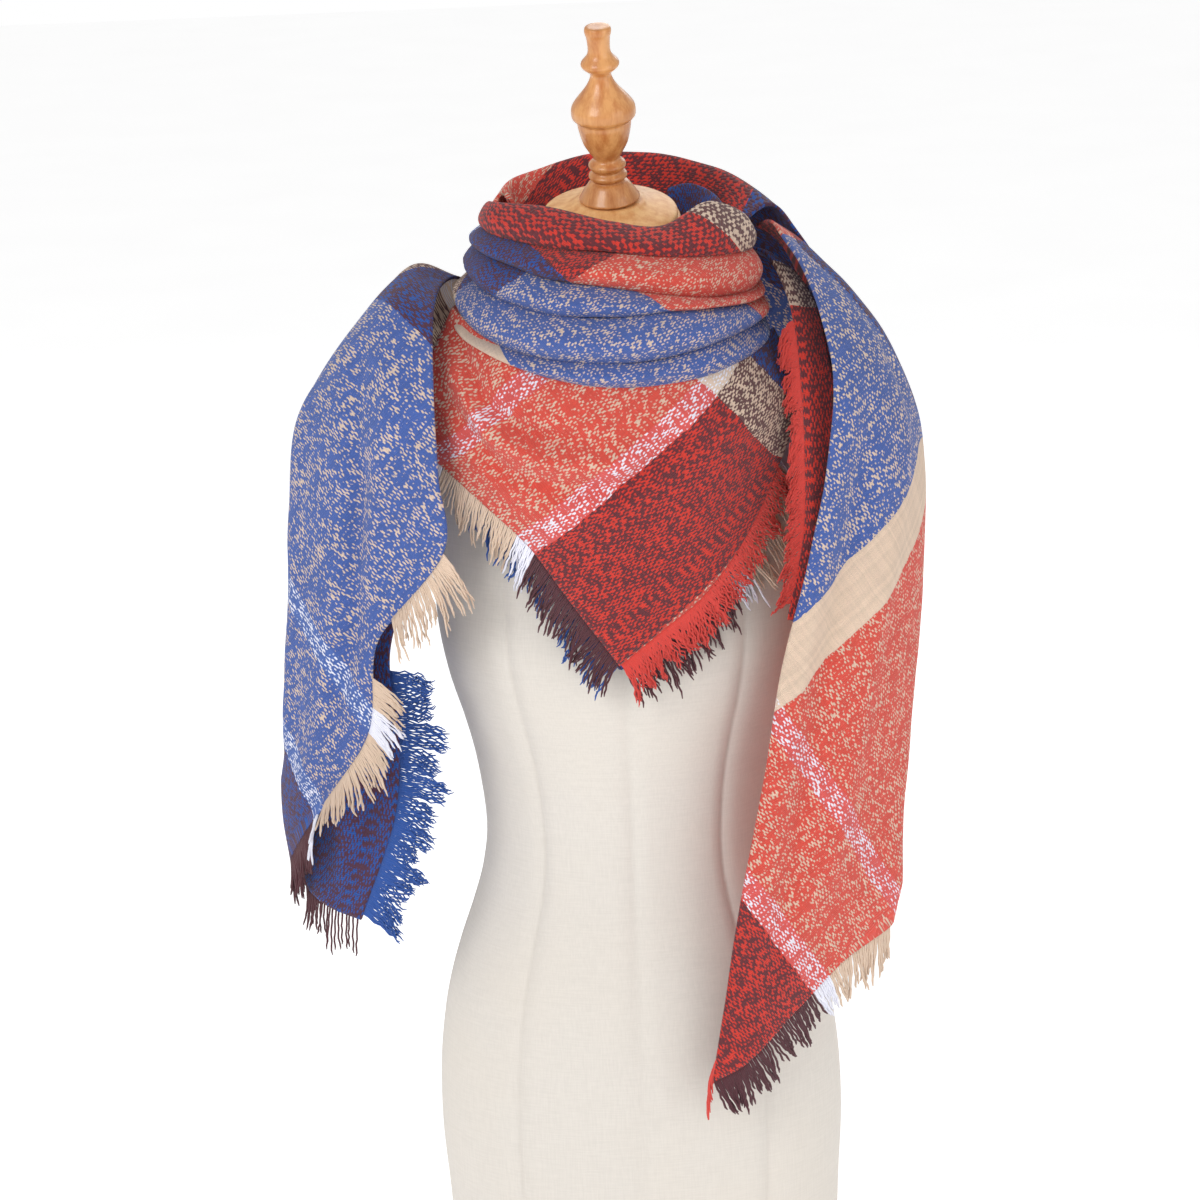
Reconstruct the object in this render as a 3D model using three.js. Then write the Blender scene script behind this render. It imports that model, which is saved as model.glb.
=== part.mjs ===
// A square plaid blanket scarf, folded to a triangle and wound round the neck of a limbless dress form.
// Millimetres, +Z up. The origin is the centre of the form's flat underside, the front faces -Y and
// +X is to the right of someone who looks at the front.
import * as THREE from "three";

// Driving dimensions
const WALL = 2.5; // thickness of the woven cloth
const SEAM_GAP = 0.8; // space between two stretches of cloth, and between cloth and its fringe
const FRINGE_WALL = 2; // thickness of a fringe's plain solid
const FRINGE_REACH = 38; // length of the yarns beyond the weave
const UNDER_LAYER_DEPTH = 11; // how far the folded triangle's lower layer lies behind the upper one
const UNDER_LAYER_DROP = 9; // how far its edges hang below the upper layer's
const NECK_TOP = new THREE.Vector3(1, -14, 893); // centre of the neck's upper face
const NECK_LEAN = THREE.MathUtils.degToRad(15); // forward lean of the neck and cap
const NECK_RADIUS = 53;
const CAP_RADIUS = 53;
const CAP_HEIGHT = 17;
const TURNED_GAP = 0.3; // space between turned pieces that stand on each other
const FINIAL_LEAN = THREE.MathUtils.degToRad(-2); // the finial stands a little askew
const TORSO_SIDES = 40;
const TURNED_SIDES = 24;

// Colours: the middle tone of each plaid block, the linen cover and the turned wood
const BLUE = 0x2f5cae;
const DARK_RED = 0x8a2f30;
const CORAL = 0xdd6a55;
const NAVY = 0x2c2f63;
const BEIGE = 0xd9bda4;
const MAROON = 0x633039;
const RED = 0xe24832;
const LINEN = 0xe8e2d8;
const WOOD = 0xdf9f5f;

const group = new THREE.Group();

function addMesh(parent, name, geometry, color, roughness = 0.9) {
  const material = new THREE.MeshStandardMaterial({ color, roughness, metalness: 0 });
  const mesh = new THREE.Mesh(geometry, material);
  mesh.name = name;
  parent.add(mesh);
  return mesh;
}

// ---------------------------------------------------------------- cloth surfaces

function catmullRom(a, b, c, d, f) {
  const slopeB = (c - a) / 2;
  const slopeC = (d - b) / 2;
  const f2 = f * f;
  const f3 = f2 * f;
  return b * (2 * f3 - 3 * f2 + 1) + slopeB * (f3 - 2 * f2 + f) + c * (3 * f2 - 2 * f3) + slopeC * (f3 - f2);
}

// A spline through values, read at t from 0 to 1. It may break at one index, which keeps a corner sharp.
function splineAt(values, t, sharp = -1) {
  const last = values.length - 1;
  const at = THREE.MathUtils.clamp(t, 0, 1) * last;
  const i = Math.min(Math.floor(at), last - 1);
  const b = values[i];
  const c = values[i + 1];
  const a = i === 0 || i === sharp ? 2 * b - c : values[i - 1];
  const d = i + 1 === last || i + 1 === sharp ? 2 * c - b : values[i + 2];
  return catmullRom(a, b, c, d, at - i);
}

// A point of the cloth through rows of points: u runs along a row, v from the first row to the last.
// The outline may have a sharp column, but depth (Y) stays smooth across it.
function clothPoint(sheet, u, v) {
  const [x, y, z] = [0, 1, 2].map((axis) => {
    const sharp = axis === 1 ? -1 : sheet.sharp;
    return splineAt(sheet.rows.map((row) => splineAt(row.map((p) => p[axis]), u, sharp)), v);
  });
  return new THREE.Vector3(x, y, z);
}

// The unit normal that points to the cloth's hidden side.
function backNormal(sheet, u, v) {
  const step = 0.01;
  const along = clothPoint(sheet, u + step, v).sub(clothPoint(sheet, u - step, v));
  const down = clothPoint(sheet, u, v + step).sub(clothPoint(sheet, u, v - step));
  return along.cross(down).normalize().multiplyScalar(sheet.side);
}

// A closed wall between a grid of front points and the same grid moved back by its thickness.
function wallGeometry(front, back) {
  const rows = front.length;
  const columns = front[0].length;
  const points = [...front.flat(), ...back.flat()];
  const at = (layer, r, c) => layer * rows * columns + r * columns + c;
  const index = [];
  const quad = (a, b, c, d) => index.push(a, b, c, a, c, d);
  for (let r = 0; r + 1 < rows; r++) {
    for (let c = 0; c + 1 < columns; c++) {
      quad(at(0, r, c), at(0, r + 1, c), at(0, r + 1, c + 1), at(0, r, c + 1));
      quad(at(1, r, c), at(1, r, c + 1), at(1, r + 1, c + 1), at(1, r + 1, c));
    }
  }
  for (let c = 0; c + 1 < columns; c++) {
    quad(at(0, 0, c), at(0, 0, c + 1), at(1, 0, c + 1), at(1, 0, c));
    quad(at(0, rows - 1, c), at(1, rows - 1, c), at(1, rows - 1, c + 1), at(0, rows - 1, c + 1));
  }
  for (let r = 0; r + 1 < rows; r++) {
    quad(at(0, r, 0), at(1, r, 0), at(1, r + 1, 0), at(0, r + 1, 0));
    quad(at(0, r, columns - 1), at(0, r + 1, columns - 1), at(1, r + 1, columns - 1), at(1, r, columns - 1));
  }
  const geometry = new THREE.BufferGeometry().setFromPoints(points);
  geometry.setIndex(signedVolume(points, index) < 0 ? index.reverse() : index);
  geometry.computeVertexNormals();
  return geometry;
}

function signedVolume(points, index) {
  let volume = 0;
  for (let i = 0; i < index.length; i += 3) {
    const [a, b, c] = [points[index[i]], points[index[i + 1]], points[index[i + 2]]];
    volume += a.dot(new THREE.Vector3().crossVectors(b, c)) / 6;
  }
  return volume;
}

function grid(rows, columns, pointAt) {
  return Array.from({ length: rows + 1 }, (_, r) =>
    Array.from({ length: columns + 1 }, (_, c) => pointAt(c / columns, r / rows)),
  );
}

function addCloth(name, color, sheet) {
  const { across, down } = sheet;
  const front = grid(down, across, (u, v) => clothPoint(sheet, u, v));
  const back = grid(down, across, (u, v) =>
    clothPoint(sheet, u, v).addScaledVector(backNormal(sheet, u, v), WALL),
  );
  addMesh(group, name, wallGeometry(front, back), color);
}

// The rows of points that make a stretch of cloth, with its grid and the side its wall grows to.
function cloth(rows, { across = 14, down = 10, side = 1, sharp = -1 } = {}) {
  return { rows, across, down, side, sharp };
}

// ---------------------------------------------------------------- fringe

// The plain solid of a row of free yarns beyond one stretch of a cloth's edge.
// The yarns leave the edge square to it, and droop by the given share towards straight down.
function addFringe(name, color, sheet, { edge, from, to, droop, steps = 8, reach = FRINGE_REACH }) {
  const DOWN = new THREE.Vector3(0, 0, -1);
  const root = (t) => {
    const s = THREE.MathUtils.lerp(from, to, t);
    return edge === "bottom" ? [s, 1] : [1, s];
  };
  const frameAt = (t) => {
    const [u, v] = root(t);
    const origin = clothPoint(sheet, u, v);
    const normal = backNormal(sheet, u, v);
    const step = 0.02;
    const [u1, v1] = root(Math.min(t + step, 1));
    const [u0, v0] = root(Math.max(t - step, 0));
    const along = clothPoint(sheet, u1, v1).sub(clothPoint(sheet, u0, v0)).normalize();
    const outward = normal.clone().cross(along).normalize();
    const inside = edge === "bottom" ? clothPoint(sheet, u, 0.9) : clothPoint(sheet, 0.9, v);
    if (outward.dot(origin.clone().sub(inside)) < 0) outward.negate();
    const hang = outward.clone().lerp(DOWN, droop).normalize();
    return { origin, normal, outward, hang };
  };
  const wallInset = (WALL - FRINGE_WALL) / 2;
  const pointAt = (t, f, depth) => {
    const { origin, normal, outward, hang } = frameAt(t);
    return origin
      .addScaledVector(outward, SEAM_GAP)
      .addScaledVector(outward, reach * f * (1 - f) * 0.5)
      .addScaledVector(hang, reach * f)
      .addScaledVector(normal, wallInset + depth);
  };
  const front = grid(2, steps, (t, f) => pointAt(t, f, 0));
  const back = grid(2, steps, (t, f) => pointAt(t, f, FRINGE_WALL));
  addMesh(group, name, wallGeometry(front, back), color);
}

// ---------------------------------------------------------------- dress form

// Cross-sections of the torso from the underside up: height, half width, depth to the front and to the
// back of the middle line, and how square the section is (2 is an ellipse).
const TORSO_SECTIONS = [
  { z: 0, half: 160, front: 98, back: 106, square: 2.2 },
  { z: 7, half: 166, front: 104, back: 112, square: 2.2 },
  { z: 60, half: 169, front: 106, back: 116, square: 2.2 },
  { z: 114, half: 172, front: 106, back: 118, square: 2.2 },
  { z: 165, half: 171, front: 105, back: 116, square: 2.2 },
  { z: 205, half: 167, front: 103, back: 110, square: 2.2 },
  { z: 244, half: 160, front: 100, back: 102, square: 2.2 },
  { z: 281, half: 149, front: 96, back: 94, square: 2.2 },
  { z: 317, half: 136, front: 91, back: 87, square: 2.2 },
  { z: 351, half: 126, front: 87, back: 82, square: 2.15 },
  { z: 390, half: 121, front: 86, back: 79, square: 2.15 },
  { z: 443, half: 126, front: 92, back: 82, square: 2.15 },
  { z: 486, half: 135, front: 102, back: 87, square: 2.2 },
  { z: 527, half: 146, front: 114, back: 92, square: 2.25 },
  { z: 565, half: 152, front: 120, back: 96, square: 2.3 },
  { z: 605, half: 154, front: 114, back: 100, square: 2.3 },
  { z: 650, half: 158, front: 102, back: 103, square: 2.3 },
  { z: 700, half: 170, front: 88, back: 104, square: 2.3 },
  { z: 735, half: 176, front: 74, back: 101, square: 2.3 },
  { z: 765, half: 168, front: 60, back: 94, square: 2.2 },
  { z: 783, half: 146, front: 52, back: 86, square: 2.1 },
  { z: 797, half: 116, front: 48, back: 80, square: 2 },
  { z: 809, half: 90, front: 46, back: 75, square: 2 },
];
// Cross-sections of the neck: centre, radius and forward lean.
const NECK_SECTIONS = [
  { y: 10, z: 822, radius: 69, lean: 0.3 },
  { y: 4, z: 838, radius: 61, lean: 0.6 },
  { y: -3, z: 858, radius: 56, lean: 0.9 },
  { y: NECK_TOP.y, z: NECK_TOP.z, radius: NECK_RADIUS, lean: 1 },
];

function torsoRing({ z, half, front, back, square }) {
  return Array.from({ length: TORSO_SIDES }, (_, i) => {
    const angle = (2 * Math.PI * i) / TORSO_SIDES;
    const [c, s] = [Math.cos(angle), Math.sin(angle)];
    const round = (value) => Math.sign(value) * Math.abs(value) ** (2 / square);
    return new THREE.Vector3(half * round(c), (s < 0 ? front : back) * round(s), z);
  });
}

function neckRing({ y, z, radius, lean }) {
  return Array.from({ length: TORSO_SIDES }, (_, i) => {
    const angle = (2 * Math.PI * i) / TORSO_SIDES;
    return new THREE.Vector3(radius * Math.cos(angle), radius * Math.sin(angle), 0)
      .applyAxisAngle(new THREE.Vector3(1, 0, 0), NECK_LEAN * lean)
      .add(new THREE.Vector3(NECK_TOP.x, y, z));
  });
}

// A closed body through rings of the same number of points, with a flat fan at each end.
function loftGeometry(rings) {
  const sides = rings[0].length;
  const points = rings.flat();
  const index = [];
  for (let r = 0; r + 1 < rings.length; r++) {
    for (let i = 0; i < sides; i++) {
      const [a, b] = [r * sides + i, r * sides + ((i + 1) % sides)];
      index.push(a, b, b + sides, a, b + sides, a + sides);
    }
  }
  const top = (rings.length - 1) * sides;
  for (let i = 1; i + 1 < sides; i++) {
    index.push(0, i + 1, i, top, top + i, top + i + 1);
  }
  const geometry = new THREE.BufferGeometry().setFromPoints(points);
  geometry.setIndex(index);
  geometry.computeVertexNormals();
  return geometry;
}

function addDressForm() {
  const rings = [...TORSO_SECTIONS.map(torsoRing), ...NECK_SECTIONS.map(neckRing)];
  addMesh(group, "form_torso", loftGeometry(rings), LINEN);

  const neck = new THREE.Group();
  neck.position.copy(NECK_TOP);
  neck.rotation.x = NECK_LEAN;
  group.add(neck);

  // The cap's profile: radius and height above the neck, with a rounded rim, two turned rings and a dome
  const capProfile = [
    [0, 0], [CAP_RADIUS - 2, 0], [CAP_RADIUS, 2], [CAP_RADIUS, 6], [CAP_RADIUS - 2, 8],
    [46, 10], [38, 12], [30, 14.5], [24, CAP_HEIGHT], [0, CAP_HEIGHT],
  ];
  const cap = addMesh(neck, "neck_cap", lathe(capProfile), WOOD, 0.35);
  cap.position.z = TURNED_GAP;

  // The finial's profile from its foot: a flared base, two beads, an urn with a ring and a neck, a bead,
  // a shank and a flat top
  const finialProfile = [
    [0, 0], [22, 0], [22, 4], [17.5, 11], [15, 14], [12.5, 16], [14.8, 18.5], [14.8, 21], [12.2, 24],
    [14.4, 27], [14.2, 30], [11, 33], [11, 36], [14, 41], [18, 49], [20.7, 61], [21, 66], [24.6, 69],
    [25, 74], [24, 78], [20.5, 83], [13, 92], [9, 99], [8.6, 104], [14, 109], [14.4, 113], [9, 120],
    [9, 131], [10.2, 136], [10.2, 139], [8.5, 141], [0, 141],
  ];
  const finial = addMesh(neck, "finial", lathe(finialProfile), WOOD, 0.35);
  finial.position.z = CAP_HEIGHT + 2 * TURNED_GAP + 22 * Math.sin(Math.abs(FINIAL_LEAN));
  finial.rotation.y = FINIAL_LEAN;
}

// A turned body about +Z from a profile of radius and height that starts and ends on the axis.
function lathe(profile) {
  const points = profile.map(([radius, height]) => new THREE.Vector2(radius, height));
  return new THREE.LatheGeometry(points, TURNED_SIDES).rotateX(Math.PI / 2);
}

// ---------------------------------------------------------------- collar

// The creases between the collar's rolls, from the roll nearest the cap down to the bib. Each runs from
// behind the left of the neck round the front to behind the right.
const CREASES = [
  [[-82, 22, 891], [-101, -20, 894], [-90, -70, 894], [-48, -108, 889], [-1, -124, 886],
   [38, -121, 881], [78, -98, 876], [107, -58, 872], [112, -8, 868]],
  [[-96, 22, 874], [-108, -22, 877], [-94, -78, 877], [-50, -120, 866], [-3, -138, 861],
   [36, -134, 854], [76, -110, 846], [111, -62, 842], [115, -8, 846]],
  [[-98, 22, 852], [-113, -24, 856], [-98, -86, 850], [-52, -132, 842], [-4, -149, 840],
   [38, -145, 842], [77, -121, 839], [112, -66, 834], [115, -8, 838]],
  [[-100, 22, 828], [-121, -28, 834], [-106, -88, 820], [-60, -138, 810], [-5, -156, 807],
   [36, -152, 808], [78, -127, 814], [114, -70, 818], [115, -8, 824]],
  [[-102, 22, 812], [-124, -36, 822], [-108, -93, 812], [-62, -139, 797], [-5, -155, 788],
   [38, -151, 788], [82, -131, 793], [117, -78, 800], [116, -10, 806]],
];
const ROLL_AXIS = [4, -5]; // the collar bulges away from this upright line
const ROLL_BULGE = [0, 11, 10, 12, 9]; // how far each roll stands out, from its two creases

function shifted(row, dx, dy, dz) {
  return row.map(([x, y, z]) => [x + dx, y + dy, z + dz]);
}

function bulged(upper, lower, bulge) {
  return upper.map(([x, y, z], i) => {
    const middle = [(x + lower[i][0]) / 2, (y + lower[i][1]) / 2, (z + lower[i][2]) / 2];
    const away = new THREE.Vector2(middle[0] - ROLL_AXIS[0], middle[1] - ROLL_AXIS[1]).normalize();
    const share = Math.sin((Math.PI * (i + 0.6)) / (upper.length + 0.2)) ** 0.5;
    return [middle[0] + away.x * bulge * share, middle[1] + away.y * bulge * share, middle[2]];
  });
}

function addCollar() {
  // The first roll is a fold that stands up round the cap, with a hump on its right
  const topRoll = cloth(
    [
      [[-70, 20, 884], [-84, -20, 886], [-72, -56, 887], [-40, -80, 885], [0, -90, 881],
       [36, -88, 877], [66, -68, 878], [90, -38, 874], [98, -4, 870]],
      [[-73, 22, 900], [-92, -20, 911], [-81, -64, 917], [-45, -90, 916], [0, -102, 906],
       [40, -98, 900], [74, -76, 914], [101, -46, 900], [106, -6, 886]],
      [[-79, 23, 896], [-101, -22, 903], [-93, -73, 907], [-51, -110, 903], [-1, -124, 897],
       [41, -120, 890], [82, -98, 894], [111, -56, 886], [114, -8, 877]],
      shifted(CREASES[0], 0, 0, SEAM_GAP / 2),
    ],
    { across: 18, down: 7 },
  );
  addCloth("roll_1", DARK_RED, topRoll);
  for (let k = 1; k < CREASES.length; k++) {
    const upper = shifted(CREASES[k - 1], 0, 0, -SEAM_GAP);
    const lower = shifted(CREASES[k], 0, 0, SEAM_GAP);
    const rows = [upper, bulged(upper, lower, ROLL_BULGE[k]), lower];
    addCloth(`roll_${k + 1}`, k === 1 ? CORAL : BLUE, cloth(rows, { across: 18, down: 4 }));
  }
}

// The stretch that stands up behind the neck: from inside, over its rim and down to the upper back.
const BACK_COLLAR_ROWS = [
  [[-80, 27, 866], [-76, 44, 864], [-62, 66, 862], [-35, 86, 862], [0, 92, 862],
   [36, 88, 862], [64, 66, 862], [78, 36, 862], [84, 6, 862]],
  [[-90, 27, 890], [-86, 46, 894], [-68, 70, 899], [-38, 91, 906], [0, 99, 910],
   [38, 96, 906], [70, 78, 900], [92, 50, 892], [104, 16, 880]],
  [[-100, 27, 905], [-95, 50, 909], [-74, 75, 915], [-42, 98, 923], [0, 108, 929],
   [40, 106, 926], [78, 92, 919], [106, 70, 908], [130, 40, 892]],
  [[-109, 18, 896], [-107, 50, 897], [-86, 85, 901], [-50, 114, 906], [0, 127, 908],
   [46, 125, 906], [90, 110, 901], [124, 84, 890], [150, 48, 872]],
  [[-113, 4, 882], [-115, 50, 880], [-97, 95, 874], [-58, 130, 861], [0, 144, 851],
   [54, 143, 850], [106, 130, 848], [148, 100, 838], [180, 60, 822]],
  [[-116, -3, 870], [-120, 51, 862], [-106, 102, 842], [-63, 141, 812], [0, 155, 790],
   [60, 154, 786], [118, 141, 784], [166, 110, 776], [204, 64, 764]],
  [[-117, -5, 860], [-123, 52, 848], [-111, 106, 812], [-66, 148, 770], [0, 163, 735],
   [64, 162, 730], [126, 147, 730], [180, 114, 722], [222, 66, 706]],
];
// A low fold inside the right of the back collar.
const INNER_FOLD_ROWS = [
  [[48, 62, 872], [62, 52, 872], [74, 34, 870], [82, 10, 868]],
  [[48, 66, 896], [64, 56, 899], [78, 38, 896], [88, 10, 884]],
  [[50, 71, 904], [67, 62, 908], [83, 44, 903], [95, 12, 892]],
  [[52, 78, 896], [70, 68, 898], [86, 48, 892], [98, 16, 882]],
];

function addBack() {
  addCloth("back_collar", CORAL, cloth(BACK_COLLAR_ROWS, { across: 18, down: 13, side: -1 }));
  addCloth("inner_fold", NAVY, cloth(INNER_FOLD_ROWS, { across: 8, down: 7, side: -1 }));
}

// ---------------------------------------------------------------- bib

// The folded triangle on the chest. Its last row is the two fringed edges, which meet in a corner.
const BIB_ROWS = [
  [[-130, -56, 824], [-106, -97, 810], [-80, -124, 801], [-45, -145, 792], [-5, -155, 786],
   [36, -152, 786], [74, -137, 789], [106, -106, 794], [130, -62, 800]],
  [[-146, -84, 796], [-112, -120, 778], [-80, -143, 765], [-44, -158, 757], [-4, -165, 750],
   [38, -163, 748], [76, -150, 751], [110, -126, 760], [142, -84, 774]],
  [[-150, -92, 764], [-112, -127, 738], [-78, -149, 718], [-42, -160, 706], [-5, -165, 698],
   [34, -162, 702], [72, -150, 714], [108, -124, 734], [144, -86, 760]],
  [[-150, -98, 732], [-108, -121, 696], [-70, -138, 660], [-38, -146, 614], [-6, -150, 568],
   [30, -147, 596], [64, -138, 622], [102, -119, 670], [143, -88, 752]],
];
const BIB_CORNER_COLUMN = 4;

// The rows of a layer that lies behind a cloth's rows, below the first, and hangs a little lower.
function underLayerRows(upper) {
  return upper.rows.slice(1).map((row, r) =>
    row.map((_, c) => {
      const [u, v] = [c / (row.length - 1), (r + 1) / (upper.rows.length - 1)];
      const point = clothPoint(upper, u, v).addScaledVector(backNormal(upper, u, v), UNDER_LAYER_DEPTH);
      return [point.x, point.y, point.z - UNDER_LAYER_DROP];
    }),
  );
}

function addBib() {
  const bib = cloth(BIB_ROWS, { across: 16, down: 10, sharp: BIB_CORNER_COLUMN });
  const under = cloth(underLayerRows(bib), { across: 16, down: 6, sharp: BIB_CORNER_COLUMN });
  addCloth("bib", CORAL, bib);
  addCloth("bib_under", BLUE, under);
  addFringe("fringe_bib_left", BEIGE, bib, { edge: "bottom", from: 0.02, to: 0.49, droop: 0.45 });
  addFringe("fringe_bib_right", RED, bib, { edge: "bottom", from: 0.51, to: 0.94, droop: 0.2, reach: 24 });
  addFringe("fringe_under_left", NAVY, under, { edge: "bottom", from: 0.1, to: 0.49, droop: 0.45 });
  const longer = { droop: 0.3, reach: 40 };
  addFringe("fringe_under_right", MAROON, under, { edge: "bottom", from: 0.51, to: 0.96, ...longer });
}

// ---------------------------------------------------------------- tails

// The left end: from under the back collar over the shoulder, then down. Rows run from the outer edge,
// at the back, round the fold at the side to the inner edge at the front.
const LEFT_TAIL_ROWS = [
  [[-10, 138, 742], [-12, 135, 772], [-14, 131, 802], [-15, 125, 832], [-15, 117, 856]],
  [[-84, 126, 734], [-85, 121, 764], [-84, 112, 794], [-79, 102, 824], [-72, 92, 850]],
  [[-162, 110, 728], [-160, 98, 766], [-150, 84, 806], [-132, 66, 833], [-106, 44, 840]],
  [[-234, 48, 732], [-222, 36, 778], [-194, 20, 820], [-158, 4, 860], [-128, -6, 850]],
  [[-256, 22, 712], [-253, -24, 746], [-222, -52, 792], [-177, -72, 836], [-138, -84, 842]],
  [[-262, 20, 656], [-266, -32, 672], [-232, -82, 720], [-182, -114, 766], [-140, -124, 786]],
  [[-268, 16, 588], [-273, -33, 592], [-240, -88, 640], [-190, -118, 688], [-139, -136, 720]],
  [[-272, 10, 520], [-280, -32, 528], [-246, -88, 578], [-196, -119, 620], [-138, -135, 660]],
  [[-276, 8, 462], [-286, -30, 468], [-254, -84, 512], [-222, -108, 552], [-194, -122, 588]],
  [[-279, 6, 412], [-289, -28, 418], [-270, -68, 448], [-244, -92, 480], [-206, -114, 510]],
  [[-278, 2, 366], [-286, -22, 368], [-278, -46, 388], [-268, -66, 408], [-252, -88, 438]],
];
const LEFT_CORNER = 0.7; // where the inner edge's fringe begins, as a share of the tail's length
const LEFT_BEND = 0.8; // where that edge turns down
// The layer behind it, whose free corner hangs lower.
const LEFT_UNDER_ROWS = [
  [[-262, 4, 610], [-262, -20, 610], [-226, -72, 622], [-192, -90, 632], [-164, -98, 640]],
  [[-266, 2, 545], [-268, -20, 545], [-234, -68, 556], [-208, -82, 560], [-188, -90, 566]],
  [[-270, 0, 480], [-274, -18, 480], [-248, -62, 488], [-214, -80, 494], [-184, -88, 500]],
  [[-273, -2, 420], [-278, -16, 418], [-258, -54, 420], [-226, -74, 426], [-190, -84, 434]],
  [[-274, -4, 378], [-278, -16, 374], [-264, -44, 372], [-240, -62, 374], [-206, -78, 384]],
  [[-272, -12, 352], [-275, -24, 348], [-266, -42, 344], [-250, -58, 338], [-226, -70, 332]],
];

// The right end: from the back collar over the shoulder and down to its low tip. Rows run from the inner
// edge at the front to the outer edge.
const RIGHT_TAIL_ROWS = [
  [[120, 54, 874], [134, 60, 864], [148, 66, 844], [168, 74, 798], [185, 80, 750], [195, 82, 700]],
  [[128, 22, 882], [148, 24, 868], [166, 28, 848], [190, 36, 806], [208, 46, 756], [216, 54, 702]],
  [[133, -20, 882], [158, -24, 862], [184, -20, 838], [214, -4, 794], [234, 18, 740], [236, 32, 684]],
  [[150, -76, 856], [178, -72, 836], [206, -58, 806], [228, -36, 766], [244, -8, 716], [240, 20, 664]],
  [[160, -120, 824], [184, -112, 800], [212, -92, 768], [232, -62, 730], [246, -26, 684], [240, 12, 636]],
  [[165, -142, 784], [188, -130, 754], [214, -108, 718], [234, -76, 680], [245, -34, 640], [238, 6, 600]],
  [[156, -149, 714], [180, -136, 684], [208, -112, 654], [230, -80, 622], [243, -38, 588], [236, 2, 556]],
  [[141, -149, 644], [166, -138, 618], [194, -114, 592], [222, -82, 566], [240, -42, 538], [234, -4, 512]],
  [[120, -144, 560], [150, -136, 538], [182, -112, 514], [212, -82, 492], [234, -46, 470], [230, -10, 452]],
  [[104, -139, 466], [136, -132, 450], [166, -112, 434], [200, -82, 418], [228, -48, 402], [224, -16, 392]],
  [[84, -134, 362], [118, -128, 354], [148, -110, 348], [184, -84, 346], [222, -52, 344], [218, -24, 342]],
  [[68, -131, 264], [102, -124, 272], [134, -108, 284], [174, -84, 300], [216, -52, 316], [214, -32, 322]],
  [[57, -130, 202], [90, -124, 218], [130, -106, 254], [170, -84, 284], [212, -52, 300], [212, -40, 306]],
];
// The layer under its inner edge, whose ragged red edge shows beside the bib.
const RIGHT_UNDER_ROWS = [
  [[98, 20, 866], [112, 24, 862], [130, 24, 850]],
  [[122, -10, 862], [132, -14, 858], [146, -16, 846]],
  [[134, -52, 842], [144, -54, 838], [158, -50, 828]],
  [[139, -88, 816], [149, -90, 812], [164, -84, 802]],
  [[141, -112, 778], [150, -116, 774], [168, -108, 766]],
  [[142, -124, 724], [150, -128, 720], [166, -120, 712]],
  [[140, -128, 664], [147, -130, 660], [160, -122, 654]],
  [[126, -130, 594], [134, -129, 592], [146, -122, 588]],
];

function addTails() {
  const left = cloth(LEFT_TAIL_ROWS, { across: 12, down: 26 });
  const leftUnder = cloth(LEFT_UNDER_ROWS, { across: 10, down: 9 });
  const right = cloth(RIGHT_TAIL_ROWS, { across: 13, down: 26 });
  const rightUnder = cloth(RIGHT_UNDER_ROWS, { across: 4, down: 13 });
  addCloth("tail_left", BLUE, left);
  addCloth("tail_left_under", NAVY, leftUnder);
  addCloth("tail_right", BLUE, right);
  addCloth("tail_right_under", DARK_RED, rightUnder);
  const above = { edge: "right", from: LEFT_CORNER, to: LEFT_BEND - 0.025, droop: 0.4 };
  const below = { edge: "right", from: LEFT_BEND + 0.04, to: 0.99, droop: 0.4 };
  addFringe("fringe_left_upper", BEIGE, left, above);
  addFringe("fringe_left_lower", BEIGE, left, below);
  addFringe("fringe_left_low_end", MAROON, left, { edge: "bottom", from: 0.2, to: 0.96, droop: 0.5 });
  addFringe("fringe_left_side", BLUE, leftUnder, { edge: "right", from: 0.24, to: 0.98, droop: 0.1 });
  addFringe("fringe_left_end", MAROON, leftUnder, { edge: "bottom", from: 0.05, to: 0.98, droop: 0.5 });
  addFringe("fringe_right_end", BEIGE, right, { edge: "bottom", from: 0.02, to: 0.8, droop: 0.3, steps: 12 });
}

addDressForm();
addCollar();
addBack();
addBib();
addTails();

export default group;
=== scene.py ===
"""A plaid blanket scarf, folded to a triangle and wound round the neck of a linen dress form.

The cloth is one square with one sett. Each stretch that shows is a thin sheet through rows of points,
with its folds laid in one by one, and every thread colour comes from where the stretch lies on the square.
Lengths in the tables are millimetres, and Blender gets metres.
"""

import logging
import math
from dataclasses import dataclass, field
from enum import Enum

import bmesh
import bpy
import numpy as np
from mathutils import Matrix, Vector, noise


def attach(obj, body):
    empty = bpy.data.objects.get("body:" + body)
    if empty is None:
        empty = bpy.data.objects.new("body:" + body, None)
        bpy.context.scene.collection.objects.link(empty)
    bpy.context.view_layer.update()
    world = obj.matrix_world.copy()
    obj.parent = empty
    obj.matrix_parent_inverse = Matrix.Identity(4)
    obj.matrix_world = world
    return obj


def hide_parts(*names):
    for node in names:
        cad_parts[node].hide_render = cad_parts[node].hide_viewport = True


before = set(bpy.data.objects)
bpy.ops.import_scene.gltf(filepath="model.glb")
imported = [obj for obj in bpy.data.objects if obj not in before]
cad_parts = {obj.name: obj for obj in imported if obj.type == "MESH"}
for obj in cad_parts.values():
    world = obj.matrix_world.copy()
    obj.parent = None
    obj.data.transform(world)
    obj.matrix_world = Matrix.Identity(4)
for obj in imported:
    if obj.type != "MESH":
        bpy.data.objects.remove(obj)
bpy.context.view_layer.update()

LOG = logging.getLogger("scarf")
MM = 0.001
BODY = "root"
CLOTH_WALL = 2.4
CLOTH_UV = "cloth"
ALONG_UV = "along"

FEWEST_CELLS = 8
RIPPLE_WAVE = 38.0
EDGE_MEASURES = 60
EDGE_NEARBY = 0.03
YARN_TAPER = (1, 0.95, 0.45)

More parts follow.
